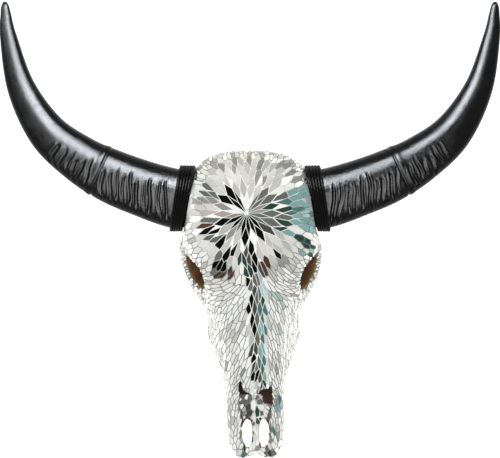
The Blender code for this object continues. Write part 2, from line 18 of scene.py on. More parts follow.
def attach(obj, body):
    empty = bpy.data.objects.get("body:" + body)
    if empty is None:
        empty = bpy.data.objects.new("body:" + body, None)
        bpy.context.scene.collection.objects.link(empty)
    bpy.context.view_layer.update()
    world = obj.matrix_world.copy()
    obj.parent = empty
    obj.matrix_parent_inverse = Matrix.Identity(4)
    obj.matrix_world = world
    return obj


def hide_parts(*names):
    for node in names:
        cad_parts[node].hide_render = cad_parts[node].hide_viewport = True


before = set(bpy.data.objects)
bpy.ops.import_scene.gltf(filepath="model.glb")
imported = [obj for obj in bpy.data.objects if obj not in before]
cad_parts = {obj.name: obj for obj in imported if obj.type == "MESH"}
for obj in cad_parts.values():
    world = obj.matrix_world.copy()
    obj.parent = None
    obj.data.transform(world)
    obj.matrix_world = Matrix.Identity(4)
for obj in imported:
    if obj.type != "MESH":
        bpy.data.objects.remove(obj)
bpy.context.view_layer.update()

bl_info = {
    "name": "Mosaic Buffalo Skull",
    "version": (1, 0, 0),
    "blender": (4, 5, 0),
    "location": "View3D > Sidebar > Skull",
    "description": "Dresses a buffalo skull in mirror tiles, polished horn and wound cord",
    "category": "Object",
}

MM = 0.001
BONES = ("cranium", "face", "nasal_bones", "premaxilla_left", "premaxilla_right")
SIDES = (("left", -1), ("right", 1))

# Places on the skull in millimetres, in the frame's X and Y
STAR_CENTRE = Vector((-5.5, 31.8))
STAR_REACH = 66.0
STAR_RING_RADII = (61.0, 73.0, 85.0, 97.0, 109.0)
STAR_RING_TILE = (27.0, 9.4)
STAR_RING_PITCH = 10.5
# Beyond this many millimetres from its middle no tile touches the star's kites
STAR_CUT_REACH = 115.0
SPINE_PATH = (
    (-4.5, -10.0),
    (-2.0, -42.0),
    (8.0, -69.0),
    (11.0, -85.0),
    (11.5, -142.0),
    (12.5, -191.0),
    (16.0, -224.0),
    (15.0, -262.0),
)
SPINE_HEAD_Y = -66.0
SPINE_START_Y = -42.0
SPINE_END_Y = -262.0
SPINE_TILE = (33.0, 8.8)
# The spine's half width at one place, that place, and how much wider it is for each millimetre back
SPINE_SPREAD = (15.0, -77.0, 0.022)
POLL_Y = 96.0
BROW_Y = -58.0
MUZZLE_Y = -268.0
LOBES_Y = -352.0
ARCH_TOP_Z = 90.0
# Lengths and widths of the tiles, place by place, and of the rows on the face by side
TILE_SIZES = {
    "occiput": (12.0, 6.0),
    "petals": (14.0, 7.5),
    "star": (24.0, 9.0),
    "poll": (12.0, 5.6),
    "brow": (15.0, 7.0),
    "nose_middle": (20.0, 9.0),
    "nose_side": (11.0, 7.0),
    "lobes": (14.0, 8.4),
    "muzzle": (17.0, 5.4),
    "cheek": (15.0, 6.5),
}
FACE_ROWS = {-1: (19.5, 5.4), 1: (21.0, 4.5)}
ORBIT_CENTRES = (Vector((-88.4, -61.7, 104.0)), Vector((93.6, -61.7, 104.0)))
ORBIT_FACING = Vector((0.86, -0.375, 0.36)).normalized()
ORBIT_RADIUS = 34.5
ORBIT_PETALS = 50.0
ORBIT_DEPTHS = (-60.0, 14.0)
NOSE_MIDDLE_X = 9.5
NOSE_HALF_WIDTH = 29.0
NOSE_BACK_Y = -165.0
NOSE_DEPTH_Z = 40.0
# The nose's rim: its height at a place along the muzzle, and its fall for each millimetre forward
NOSE_RIM = (74.0, -262.0, 0.36)
# Where the mosaic ends low on the sides, in metres: at the muzzle, behind it, and where that starts
MOSAIC_FOOT = (0.016, 0.040, -0.29)
# How far past the clad bone a tile's corner may reach
OVERHANG = 2.4
# How far, in metres, the bone may rise into a tile, and a tile may stand over its bed's mean height
TILE_DIP = 0.0004
TILE_LIFT = 0.0012
# How far a tile can reach from its seed, as shares of the seed's length and width
CELL_SHARES = (0.78, 0.85)
# Metres and square metres: seeds further apart never touch, shorter sides are merged, smaller cells dropped
FARTHEST_NEIGHBOUR = 0.03
SHORTEST_SIDE = 0.0011
SMALLEST_CELL = 9e-6
MOST_TILES = 9000
# The tooth rows: from and to across, from and to along, and their top
TOOTH_ROWS = (40.0, 72.0, -226.0, -62.0, 33.0)
# The floor of the nose: how far back it is clad, how far back beside its dark corner, where it ends
NOSE_FLOOR_Y = (-272.0, -288.0, -345.0)
NOSE_FLOOR_TOP = 58.0

# The horn's middle line as the frame has it, in millimetres and before the shift
FRAME_SHIFT_Y = 6.3
CORD_INNER_EDGE = ((87.6, 102.0), (108.0, -2.0))
CORD_OUTER_EDGE = ((117.0, 102.0), (131.5, -2.0))
HORN_BASE_Z = 132.0
HORN_BULGE = 0.09
HORN_CREST_DEGREES = 57.0


class HornStation(NamedTuple):
    """Middle point, width and depth of a horn's cross-section."""

    x: float
    y: float
    z: float
    width: float
    depth: float


HORN_STATIONS = (
    HornStation(174.0, 65.5, 127, 92, 69),
    HornStation(226.5, 86.0, 121, 88, 65),
    HornStation(279.0, 114.5, 114, 78, 58),
    HornStation(334.0, 160.0, 107, 65, 51),
    HornStation(376.5, 232.5, 106, 47, 40),
    HornStation(397.0, 316.0, 113, 28, 25),
    HornStation(400.6, 350.0, 117, 18.5, 17),
    HornStation(401.6, 366.0, 119, 12.5, 12),
    HornStation(402.0, 372.5, 119.5, 5.0, 5.0),
)
# Runs of growth grooves: their first and last place along the horn, how many, and their slant
GROOVE_RUNS = ((1.12, 3.24, 10, -0.2), (3.48, 4.62, 6, -0.04))
RING_PLACE = 3.3
# Rows of points along a horn: under the cord, a step apart for a length with grooves, then to the tip
ROOT_ROWS = 5
GROOVED_STEP = 0.022
GROOVED_LENGTH = 3.9
TIP_ROWS = 70
GROOVE_LIP = 0.45
RING_DEPTH = 2.8
RING_SWELL = 1.1
HORN_BASE_SIZE = (97.0, 76.0)
HORN_NECK_SIZE = (97.0, 74.0)
# Points in one turn of the cord, and where the turns ride over one another: its middle and its
# spread in degrees round the horn, and how high they rise
CORD_STEPS = 150
CORD_CROSSING = (182, 42, 1.6)

CAMERA_HEIGHT = 3.0
CAMERA_LENS = 126.5
FLOOR_HALF = 4.0

# Tile colours, as seen on a screen from 0 to 255: partly the mirror glass's own colour, partly painted
# reflections
TINTS_AND_REFLECTIONS = {
    "bright": (255, 255, 255),
    "clear": (240, 240, 236),
    "pale": (222, 221, 214),
    "silver": (196, 195, 188),
    "grey": (152, 151, 146),
    "slate": (106, 109, 106),
    "olive": (104, 102, 84),
    "smoke": (74, 76, 74),
    "black": (7, 7, 8),
    "forest": (44, 70, 64),
    "sea": (82, 116, 115),
    "teal": (130, 170, 168),
    "mist": (176, 199, 196),
    "bronze": (76, 56, 42),
    "blush": (180, 168, 160),
    "warm": (212, 208, 198),
}

# Which tints, partly painted reflections, are mixed where, with their shares
MIXES = {
    "field": (("clear", 0.62), ("pale", 0.28), ("silver", 0.08), ("grey", 0.02)),
    "poll": (("clear", 0.06), ("pale", 0.18), ("silver", 0.4), ("warm", 0.14), ("grey", 0.22)),
    "crown": (("clear", 0.66), ("pale", 0.26), ("silver", 0.06), ("smoke", 0.02)),
    "white": (("bright", 1.0),),
    "night": (("black", 0.94), ("smoke", 0.06)),
    "night_grey": (("black", 0.6), ("smoke", 0.25), ("slate", 0.15)),
    "shade": (("smoke", 0.45), ("slate", 0.45), ("black", 0.1)),
    "ash": (("slate", 0.65), ("grey", 0.35)),
    "light": (("silver", 0.4), ("grey", 0.6)),
    "light_specks": (("silver", 0.44), ("pale", 0.2), ("black", 0.1), ("bronze", 0.05), ("grey", 0.21)),
    "earth": (("black", 0.34), ("olive", 0.26), ("bronze", 0.08), ("slate", 0.32)),
    "ember": (("black", 0.3), ("bronze", 0.2), ("slate", 0.18), ("silver", 0.32)),
    "pond": (("forest", 0.4), ("slate", 0.35), ("sea", 0.25)),
    "lagoon": (("teal", 0.7), ("sea", 0.16), ("mist", 0.14)),
    "chain": (("forest", 0.32), ("bronze", 0.1), ("teal", 0.2), ("pale", 0.38)),
    "dusk": (("black", 0.5), ("blush", 0.5)),
    "rose": (("blush", 0.45), ("pale", 0.35), ("silver", 0.2)),
    "specks": (("black", 0.35), ("silver", 0.35), ("slate", 0.3)),
    "marsh": (("slate", 0.45), ("grey", 0.25), ("forest", 0.3)),
    "wood": (("black", 0.55), ("forest", 0.25), ("smoke", 0.2)),
    "nose_floor": (
        *(("slate", 0.22), ("smoke", 0.18), ("grey", 0.16), ("clear", 0.22)),
        *(("olive", 0.1), ("forest", 0.06), ("blush", 0.06)),
    ),
    "mist": (("mist", 0.18), ("clear", 0.5), ("pale", 0.32)),
    "spine_head": (("black", 0.52), ("forest", 0.24), ("smoke", 0.24)),
    "spine_left": (("black", 0.62), ("smoke", 0.16), ("slate", 0.12), ("silver", 0.1)),
    "spine_middle": (("smoke", 0.38), ("slate", 0.32), ("olive", 0.18), ("sea", 0.12)),
    "spine_right": (("teal", 0.36), ("sea", 0.3), ("forest", 0.24), ("mist", 0.1)),
    "lobes": (
        *(("clear", 0.58), ("pale", 0.12), ("grey", 0.1), ("sea", 0.08)),
        *(("slate", 0.05), ("forest", 0.04), ("bronze", 0.03)),
    ),
}

# Sectors of the star: from and to millimetres from its middle, from and to degrees (0 to the
# right, 90 to the poll), and the mix. Of two sectors that overlap, the first counts.
STAR_SECTORS = (
    (0, 34, 62, 118, "white"),
    (0, 34, 118, 155, "night"),
    (0, 34, 155, 177, "white"),
    (0, 34, 177, 200, "ash"),
    (0, 34, 200, 232, "night_grey"),
    (0, 34, 232, 250, "ash"),
    (0, 34, 250, 322, "night"),
    (0, 34, 322, 352, "shade"),
    (0, 34, 352, 422, "ash"),
    (34, 57, 62, 118, "poll"),
    (34, 57, 118, 150, "night"),
    (34, 57, 150, 172, "ash"),
    (34, 57, 172, 188, "dusk"),
    (34, 57, 188, 215, "night"),
    (34, 57, 215, 258, "light"),
    (34, 57, 258, 283, "night"),
    (34, 57, 283, 300, "white"),
    (34, 57, 300, 322, "specks"),
    (34, 57, 322, 352, "shade"),
    (34, 57, 352, 400, "marsh"),
    (34, 57, 40, 62, "ash"),
    (57, 80, 40, 142, "poll"),
    (57, 80, 142, 165, "ash"),
    (57, 80, 165, 190, "rose"),
    (57, 80, 190, 222, "earth"),
    (57, 80, 222, 258, "ember"),
    (57, 80, 258, 283, "wood"),
    (57, 80, 283, 330, "light_specks"),
    (57, 80, 330, 350, "chain"),
    (57, 80, 350, 392, "pond"),
    (80, 125, 344, 387, "lagoon"),
    (80, 125, 324, 337, "chain"),
    (80, 112, 236, 256, "ember"),
    (80, 112, 283, 322, "light_specks"),
    (80, 112, 40, 142, "poll"),
)


def to_linear(rgb):
    """A screen colour of 0 to 255 as the linear colour that a shader takes."""
    return tuple(((c / 255 + 0.055) / 1.055) ** 2.4 if c > 10 else c / 255 / 12.92 for c in rgb)


def tone(rgb):
    return (*to_linear(rgb), 1.0)


def length_property(name, description, default):
    return FloatProperty(name=name, description=description, default=default, unit="LENGTH")


def colour_property(name, description, rgb):
    linear = to_linear(rgb)
    return FloatVectorProperty(name=name, description=description, default=linear, subtype="COLOR")


class MosaicSizes(bpy.types.PropertyGroup):
    """Sizes of the bone and its tiles."""

    voxel: length_property("Bone Voxel", "Size of the cells that fuse the bones into one skin", 0.0023)
    thickness: length_property("Tile Thickness", "How far a tile stands proud of the bone", 0.0011)
    star_thickness: length_property(
        "Star Tile Thickness", "How far a tile of the star or the spine stands proud of the bone", 0.0006
    )
    sink: length_property("Tile Bed", "How deep a tile is bedded in the grout", 0.0022)
    grout: length_property("Grout Width", "Width of the joint between two tiles", 0.0009)
    star_joint: length_property(
        "Star Joint", "Width of the joint between two tiles of the star or the spine", 0.001
    )
    bevel: length_property("Ground Edge", "Height of the ground edge of a tile", 0.0003)
    tilt: FloatProperty(
        name="Tile Tilt",
        description="Largest angle by which a tile is set out of true",
        default=math.radians(1.6),
        subtype="ANGLE",
    )
    rays: IntProperty(
        name="Star Rays", description="Number of kites round the middle of the star", default=21
    )
    spacing: FloatProperty(
        name="Tile Spacing", description="Nearest that two tiles lie, as a share of their size", default=0.82
    )
    seed: IntProperty(name="Seed", description="Start of the random draws for the mosaic", default=11)


class HornSizes(bpy.types.PropertyGroup):
    """Sizes of the horns and their cords."""

    segments: IntProperty(name="Horn Segments", description="Number of points round a horn", default=72)
    groove_depth: length_property("Groove Depth", "Depth of a growth groove", 0.0042)
    cord: length_property("Cord Thickness", "Thickness of the cord on the horn roots", 0.0058)
    turns: IntProperty(name="Cord Turns", description="Number of turns of cord on a horn root", default=5)
    lay: length_property("Cord Lay", "Length of one twist of the cord's strands", 0.02)


class Finishes(bpy.types.PropertyGroup):
    """Colours of the plain finishes."""

    bone: colour_property("Bone", "Colour of bare bone in the open", (206, 190, 160))
    # The stain colour also serves as painted shade in the bone's hollows
    stain_and_shade: colour_property("Bone Stain", "Colour of bare bone in hollows", (124, 82, 38))
    # The grey of the joints between pale tiles is partly the grout's colour, partly painted shade in the
    # gaps
    grout: colour_property("Grout", "Colour of the joints between pale tiles", (150, 152, 148))
    star_grout: colour_property(
        "Star Grout", "Colour of the joints between the star's tiles", (252, 252, 248)
    )
    horn: colour_property("Horn", "Colour of polished horn", (0, 0, 0))
    cord: colour_property("Cord", "Colour of the waxed cord", (0, 0, 0))
    floor: colour_property("Floor", "Colour of the studio floor", (246, 246, 246))


class Wire:
    """A socket that takes part in sums: each sum adds one Math node."""

    def __init__(self, graph, socket):
        self.graph = graph
        self.socket = socket

    def _sum(self, operation, first, second):
        return self.graph.wire("ShaderNodeMath", {"operation": operation}, {0: first, 1: second})

    def __add__(self, other):
        return self._sum("ADD", self, other)

    def __radd__(self, other):
        return self._sum("ADD", other, self)

    def __sub__(self, other):
        return self._sum("SUBTRACT", self, other)

    def __rsub__(self, other):
        return self._sum("SUBTRACT", other, self)

    def __mul__(self, other):
        return self._sum("MULTIPLY", self, other)

    def __rmul__(self, other):
        return self._sum("MULTIPLY", other, self)

    def __truediv__(self, other):
        return self._sum("DIVIDE", self, other)

    def __rtruediv__(self, other):
        return self._sum("DIVIDE", other, self)


class Graph:
    """Adds nodes to a shader or geometry tree."""

    def __init__(self, tree):
        self.tree = tree

    def node(self, kind, settings=None, inputs=None):
        """One node: its settings first, then the values or links of its sockets."""
        made = self.tree.nodes.new(kind)
        for key, value in (settings or {}).items():
            setattr(made, key, value)
        for key, value in (inputs or {}).items():
            if isinstance(value, Wire):
                value = value.socket
            if isinstance(value, bpy.types.NodeSocket):
                self.tree.links.new(value, made.inputs[key])
            else:
                made.inputs[key].default_value = value
        return made

    def wire(self, kind, settings=None, inputs=None, output=0):
        return Wire(self, self.node(kind, settings, inputs).outputs[output])

    def blend(self, share, first, second, how="MIX"):
        """Two colours mixed by a share."""
        settings = {"data_type": "RGBA", "blend_type": how}
        return self.wire("ShaderNodeMix", settings, {0: share, 6: first, 7: second}, 2)

    def ramp(self, value, low, high):
        """A value taken from low..high to 0..1, smoothly and held at the ends."""
        settings = {"interpolation_type": "SMOOTHSTEP"}
        inputs = {"Value": value, "From Min": low, "From Max": high}
        return self.wire("ShaderNodeMapRange", settings, inputs)

    def noise(self, scale, detail, roughness=0.55, where=None):
        inputs = {"Scale": scale, "Detail": detail, "Roughness": roughness}
        inputs["Vector"] = where or self.place()
        return self.wire("ShaderNodeTexNoise", None, inputs)

    def place(self):
        return self.wire("ShaderNodeTexCoord", None, None, "Object")

    def attribute(self, name, output="Fac"):
        return self.wire("ShaderNodeAttribute", {"attribute_name": name}, None, output)

    def bump(self, height, distance, strength):
        inputs = {"Height": height, "Distance": distance, "Strength": strength}
        return self.wire("ShaderNodeBump", None, inputs)


def new_material(name):
    """An empty material: its graph, and a function that closes it with a Principled shader."""
    material = bpy.data.materials.new(name)
    material.use_nodes = True
    material.node_tree.nodes.clear()
    graph = Graph(material.node_tree)

    def finish(inputs):
        shader = graph.wire("ShaderNodeBsdfPrincipled", None, inputs)
        graph.node("ShaderNodeOutputMaterial", None, {"Surface": shader})
        return material

    return graph, finish


def colour4(colour):
    return (*colour, 1.0)


def bone_material():
    """Bare bone, stained and darkened by painted shade in its hollows, painted near-black shade deep in the
    nose and eye sockets, and grout laid over it where the tiles are, its grey partly painted shade in the
    gaps.
    """
    colours = bpy.context.scene.skull_finishes
    graph, finish = new_material("bone_and_grout")
    clad = graph.attribute("clad")
    openness_and_painted_shade = graph.attribute("openness_and_painted_shade")
    star = graph.attribute("star_share")
    tooth = graph.attribute("tooth_share")
    broad = graph.noise(26.0, 5.0)
    fine = graph.noise(240.0, 4.0)
    # Hollows take the stain colour: partly real staining, partly painted shade by how little open sky a
    # point sees
    hollow_stain_and_shade = graph.ramp(openness_and_painted_shade * -1 + broad * 0.5, -0.62, -0.12)
    bone = graph.blend(hollow_stain_and_shade, colour4(colours.bone), colour4(colours.stain_and_shade))
    bone = graph.blend(graph.ramp(broad, 0.46, 0.66) * 0.5, bone, tone((96, 58, 30)))
    bone = graph.blend(graph.ramp(fine, 0.5, 0.72) * 0.25, bone, tone((150, 118, 74)))
    # Painted shade: the most closed-in bone, deep in the nose and eye sockets, turns nearly black
    deep = graph.ramp(openness_and_painted_shade * -1 + broad * 0.2, -0.22, 0.12)
    bone = graph.blend(deep, bone, tone((30, 13, 6)))
    enamel = graph.blend(graph.ramp(broad, 0.4, 0.62), tone((226, 218, 196)), tone((150, 118, 74)))
    bone = graph.blend(tooth, bone, enamel)
    # Grey grout of the pale tiles: partly its own colour, partly painted shade in the gaps; white in the
    # star
    grout = graph.blend(graph.ramp(fine, 0.35, 0.7) * 0.3, colour4(colours.grout), tone((112, 112, 106)))
    grout = graph.blend(star, grout, colour4(colours.star_grout))
    pores = fine * 0.6 + graph.noise(900.0, 2.0) * 0.4
    return finish(
        {
            "Base Color": graph.blend(clad, bone, grout),
            "Roughness": 0.62 + fine * 0.25,
            "Normal": graph.bump(pores, 0.0006, 0.6),
        }
    )


def tile_material():
    """Mirror glass: silvered and tinted tile by tile, the tints partly painted reflections, with pale ground
    edges and fine wear.
    """
    graph, finish = new_material("mirror_tile")
    tint_and_reflection = graph.attribute("tint_and_reflection", "Color")
    edge = graph.attribute("edge")
    cloud = graph.noise(60.0, 3.0)
    specks = graph.noise(1400.0, 2.0)
    worn = graph.blend(graph.ramp(specks, 0.66, 0.78) * 0.35, tint_and_reflection, tone((120, 118, 108)))
    shaded = graph.blend(graph.ramp(cloud, 0.3, 0.75) * 0.16, worn, tone((150, 154, 152)), "MULTIPLY")
    glass_edge = graph.blend(0.55, tint_and_reflection, tone((176, 186, 180)))
    return finish(
        {
            "Base Color": graph.blend(edge, shaded, glass_edge),
            "Metallic": 0.94 - edge * 0.6,
            "Roughness": 0.1 + graph.ramp(cloud, 0.35, 0.7) * 0.07 + edge * 0.2,
            "Normal": graph.bump(graph.noise(120.0, 2.0), 0.0004, 0.25),
        }
    )


def horn_material():
    """Polished black horn with fine growth lines round it, fibres along it and a dull bloom."""
    colours = bpy.context.scene.skull_finishes
    graph, finish = new_material("polished_horn")
    uv = graph.wire("ShaderNodeUVMap", {"uv_map": "growth"})
    stretched = graph.wire("ShaderNodeMapping", None, {"Vector": uv, "Scale": (90.0, 3.0, 1.0)})
    lines = graph.noise(3.0, 4.0, 0.6, stretched)
    streaks = graph.wire("ShaderNodeMapping", None, {"Vector": uv, "Scale": (1.6, 26.0, 1.0)})
    fibre = graph.noise(3.0, 4.0, 0.6, streaks)
    bloom = graph.noise(34.0, 4.0)
    groove = graph.attribute("groove")
    height = lines * 0.5 + fibre * 0.5
    return finish(
        {
            "Base Color": colour4(colours.horn),
            "Roughness": 0.1 + graph.ramp(bloom, 0.4, 0.7) * 0.1 + fibre * 0.1 + groove * 0.12,
            "Specular IOR Level": 0.1,
            "Normal": graph.bump(height, 0.001, 0.5),
        }
    )


def cord_material():
    """Black waxed cord, a little worn in random patches."""
    colours = bpy.context.scene.skull_finishes
    graph, finish = new_material("waxed_cord")
    fuzz = graph.noise(900.0, 3.0)
    wear = graph.noise(120.0, 3.0)
    worn = graph.blend(graph.ramp(wear, 0.5, 0.75) * 0.4, colour4(colours.cord), tone((6, 6, 6)))
    return finish(
        {
            "Base Color": worn,
            "Roughness": 0.16 + fuzz * 0.1,
            "Specular IOR Level": 0.1,
            "Normal": graph.bump(fuzz, 0.0003, 0.6),
        }
    )


def floor_material():
    colours = bpy.context.scene.skull_finishes
    graph, finish = new_material("studio_floor")
    return finish(
        {
            "Base Color": colour4(colours.floor),
            "Roughness": 0.8,
            "Emission Color": tone((255, 255, 255)),
            "Emission Strength": 0.5,
        }
    )


def make_piece(name, mesh, material=None):
    """An object at the origin that shows a mesh."""
    piece = bpy.data.objects.new(name, mesh)
    bpy.context.scene.collection.objects.link(piece)
    if material is not None:
        mesh.materials.clear()
        mesh.materials.append(material)
    return piece


def make_plain(piece):
    """Applies a piece's modifiers, so that it is a plain mesh."""
    depsgraph = bpy.context.evaluated_depsgraph_get()
    made = piece.evaluated_get(depsgraph)
    mesh = bpy.data.meshes.new_from_object(made, depsgraph=depsgraph)
    piece.modifiers.clear()
    if piece.type == "MESH":
        piece.data = mesh
        return piece
    plain = make_piece(piece.name + "_mesh", mesh)
    bpy.data.objects.remove(piece)
    return plain


def merged_copy(name, nodes):
    """The meshes of CAD nodes as one mesh, with their loose triangles merged."""
    bm = bmesh.new()
    for node in nodes:
        bm.from_mesh(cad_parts[node].data)
    bmesh.ops.remove_doubles(bm, verts=bm.verts, dist=0.000002)
    mesh = bpy.data.meshes.new(name)
    bm.to_mesh(mesh)
    bm.free()
    return mesh


def fused_bone():
    """The five bones fused into one smooth skin."""
    sizes = bpy.context.scene.skull_mosaic
    piece = make_piece("bone_core", merged_copy("bone_core", BONES))
    swell = piece.modifiers.new("close sutures", "DISPLACE")
    swell.mid_level = 0.0
    swell.strength = 0.0002
    fuse = piece.modifiers.new("fuse", "REMESH")
    fuse.mode = "VOXEL"
    fuse.voxel_size = sizes.voxel
    ease = piece.modifiers.new("ease", "SMOOTH")
    ease.factor = 0.5
    ease.iterations = 7
    return make_plain(piece)


class Skin:
    """The fused bone as arrays and search trees."""

    def __init__(self, mesh):
        self.mesh = mesh
        count = len(mesh.vertices)
        self.points = np.zeros(count * 3)
        mesh.vertices.foreach_get("co", self.points)
        self.points = self.points.reshape(-1, 3)
        self.normals = np.zeros(count * 3)
        mesh.vertices.foreach_get("normal", self.normals)
        self.normals = self.normals.reshape(-1, 3)
        self.soften_normals()
        faces = [tuple(p.vertices) for p in mesh.polygons]
        self.tree = BVHTree.FromPolygons([tuple(p) for p in self.points], faces)
        self.nearby = KDTree(count)
        for i, point in enumerate(self.points):
            self.nearby.insert(point, i)
        self.nearby.balance()

    def soften_normals(self, rounds=6):
        """Evens the normals out over some millimetres, and keeps how sharply the bone bends."""
        ends = np.zeros(len(self.mesh.edges) * 2, dtype=np.int64)
        self.mesh.edges.foreach_get("vertices", ends)
        near, far = ends[0::2], ends[1::2]
        ones = np.ones(len(self.points))
        np.add.at(ones, near, 1)
        np.add.at(ones, far, 1)
        self.ends = near, far
        self.counts = ones
        soft = self.evened(self.normals, rounds)
        lengths = np.linalg.norm(soft, axis=1)
        self.bend = 1 - lengths
        self.soft_normals = soft / np.maximum(lengths, 0.001)[:, None]

    def evened(self, values, rounds):
        """Values of the vertices, each made the mean of itself and its neighbours some times."""
        near, far = self.ends
        counts = self.counts if values.ndim == 1 else self.counts[:, None]
        for _ in range(rounds):
            total = values.copy()
            np.add.at(total, near, values[far])
            np.add.at(total, far, values[near])
            values = total / counts
        return values

    def normal_at(self, point):
        """The softened normal of the bone close to a point."""
        found = self.nearby.find_n(point, 4)
        total = Vector((0, 0, 0))
        for _, index, _ in found:
            total += Vector(self.soft_normals[index])
        return total.normalized()

    def drop(self, x, y):
        """The bone's top surface under a point of the plan, or None."""
        hit = self.tree.ray_cast(Vector((x, y, 0.4)), Vector((0, 0, -1)))
        return hit[0]

    def open_shares(self, rays=12, reach=0.06):
        """For each vertex, the share of the half-sphere above it that meets no bone."""
        golden = math.pi * (3 - math.sqrt(5))
        directions = []
        for i in range(rays):
            up = 0.12 + 0.83 * (i + 0.5) / rays
            across = math.sqrt(1 - up * up)
            directions.append((across * math.cos(golden * i), across * math.sin(golden * i), up))
        shares = np.zeros(len(self.points))
        for i in range(len(self.points)):
            normal = Vector(self.normals[i])
            side = normal.orthogonal().normalized()
            other = normal.cross(side)
            start = Vector(self.points[i]) + normal * 0.0012
            free = 0
            for a, b, c in directions:
                if self.tree.ray_cast(start, side * a + other * b + normal * c, reach)[0] is None:
                    free += 1
            shares[i] = free / rays
        return shares


def store(mesh, name, values):
    """Keeps one number a vertex on a mesh."""
    layer = mesh.attributes.new(name, "FLOAT", "POINT")
    layer.data.foreach_set("value", np.asarray(values, dtype=np.float32))


def in_tooth_row(points):
    low, high, back, front, top = (value * MM for value in TOOTH_ROWS)
    across = np.abs(points[:, 0] - 0.004)
    inside = (across > low) & (across < high)
    inside &= (points[:, 1] > back) & (points[:, 1] < front) & (points[:, 2] < top)
    return inside


def in_orbit(points):
    """Which points lie on the wall of an eye socket."""
    inside = np.zeros(len(points), dtype=bool)
    for (_, side), centre in zip(SIDES, ORBIT_CENTRES):
        facing_out = np.array((side * ORBIT_FACING.x, ORBIT_FACING.y, ORBIT_FACING.z))
        away = points / MM - np.array(centre)
        along = away @ facing_out
        across = np.linalg.norm(away - np.outer(along, facing_out), axis=1)
        inside |= (across < ORBIT_RADIUS) & (along < ORBIT_DEPTHS[1]) & (along > ORBIT_DEPTHS[0])
    return inside


def in_nose(points):
    """Which points lie inside the nose, below its rim."""
    x, y, z = (points / MM).T
    height, start, fall = NOSE_RIM
    rim = height + np.minimum(y - start, 0.0) * fall
    across = np.abs(x - NOSE_MIDDLE_X) < NOSE_HALF_WIDTH
    return across & (y < NOSE_BACK_Y) & (y > NOSE_FLOOR_Y[2]) & (z < rim) & (z > NOSE_DEPTH_Z)


def nose_floor(points):
    """Which points lie on the clad part of the nose's floor."""
    x, y, z = (points / MM).T
    back, corner, front = NOSE_FLOOR_Y
    start = np.where(x > 20, corner, back)
    across = np.abs(x - NOSE_MIDDLE_X) < 27
    return across & (y < start) & (y > front) & (z < NOSE_FLOOR_TOP) & (z > NOSE_DEPTH_Z)


def on_nose_floor(x, y, z):
    """Whether a place in millimetres is on the floor of the nose."""
    back, _, front = NOSE_FLOOR_Y
    return z < NOSE_FLOOR_TOP and abs(x - NOSE_MIDDLE_X) < 28 and front < y < back


def by_cord(points, margin):
    """Which points of a horn's root lie within some millimetres of the cord, or under it."""
    edge, way = horn_plane(CORD_INNER_EDGE)
    x, y = np.abs(points[:, 0]) / MM, points[:, 1] / MM - FRAME_SHIFT_Y
    beyond = (x - edge.x) * way.x + (y - edge.y) * way.y
    at_root = (y > -6) & (y < 106) & (points[:, 2] > 0.088)
    return at_root & (beyond > -margin)


def clad_shares(skin, open_shares):
    """Where the mosaic covers the bone: on all its open faces but the underside and the teeth."""
    points, normals = skin.points, skin.normals
    at_muzzle, behind, muzzle_y = MOSAIC_FOOT
    lowest = np.where(points[:, 1] < muzzle_y, at_muzzle, behind)
    clad = (open_shares > 0.6) & ~in_nose(points) & ~in_orbit(points)
    clad |= nose_floor(points) & (normals[:, 2] > 0.6)
    clad &= (normals[:, 2] > -0.25) & (points[:, 2] > lowest)
    clad &= ~((normals[:, 1] > 0.5) & (points[:, 2] < 0.085))
    clad &= ~in_tooth_row(points)
    _, way = horn_plane(CORD_INNER_EDGE)
    facing_horn = np.abs(normals[:, 0]) * way.x + normals[:, 1] * way.y > 0.7
    clad &= ~(facing_horn & by_cord(points, 2.5))
    return skin.evened(clad.astype(float), 3) > 0.5


def spine_x(y):
    """The middle of the spine of long tiles, in mm, at a place along the muzzle."""
    path = SPINE_PATH
    if y >= path[0][1]:
        return path[0][0]
    for (x0, y0), (x1, y1) in zip(path, path[1:]):
        if y >= y1:
            return x0 + (x1 - x0) * (y0 - y) / (y0 - y1)
    return path[-1][0]


def spine_half_width(y):
    width, start, spread = SPINE_SPREAD
    return width + (y - start) * spread


def lay_of(point, normal):
    """Which way the tiles run at a point, and their length and width in mm."""
    x, y, z = (value / MM for value in point)
    star = Vector((x - STAR_CENTRE.x, y - STAR_CENTRE.y, 0))
    reach = star.length
    side = 1 if x > spine_x(y) else -1
    orbit = min(ORBIT_CENTRES, key=lambda c: (c - Vector((x, y, z))).length)
    from_orbit = Vector((x, y, z)) - orbit
    if normal.y > 0.75 and y > 90:
        return Vector((x * 0.004, 0, 1)), *TILE_SIZES["occiput"]
    if from_orbit.length < ORBIT_PETALS and reach > 88:
        return from_orbit, *TILE_SIZES["petals"]
    if y > BROW_Y or reach < 92:
        if reach < 96:
            return star, *TILE_SIZES["star"]
        return star, *TILE_SIZES["poll" if y > POLL_Y else "brow"]
    if on_nose_floor(x, y, z):
        if abs(x - NOSE_MIDDLE_X) < 6:
            return Vector((0, -1, 0)), *TILE_SIZES["nose_middle"]
        return Vector((0.6 * side, -1, 0)), *TILE_SIZES["nose_side"]
    if y < LOBES_Y:
        return Vector((0.3 * side, -1, 0)), *TILE_SIZES["lobes"]
    if y < MUZZLE_Y:
        return Vector((0.1 * side, -1, 0)), *TILE_SIZES["muzzle"]
    off = min(abs(x - spine_x(y)) / 60.0, 1.0)
    flat = max(0.0, 1 - abs(y + 88) / 34)
    lean = math.radians(12 + 28 * off + 34 * flat * off)
    if abs(normal.z) < 0.45:
        return Vector((0, -0.8, -0.6)), *TILE_SIZES["cheek"]
    return Vector((side * math.sin(lean), -math.cos(lean), 0)), *FACE_ROWS[side]


def pick(mix, draw):
    """The tint, partly a painted reflection, that a number from 0 to 1 draws from a mix."""
    total = 0.0
    for tint_and_reflection, share in MIXES[mix]:
        total += share
        if draw < total:
            return tint_and_reflection
    return MIXES[mix][0][0]


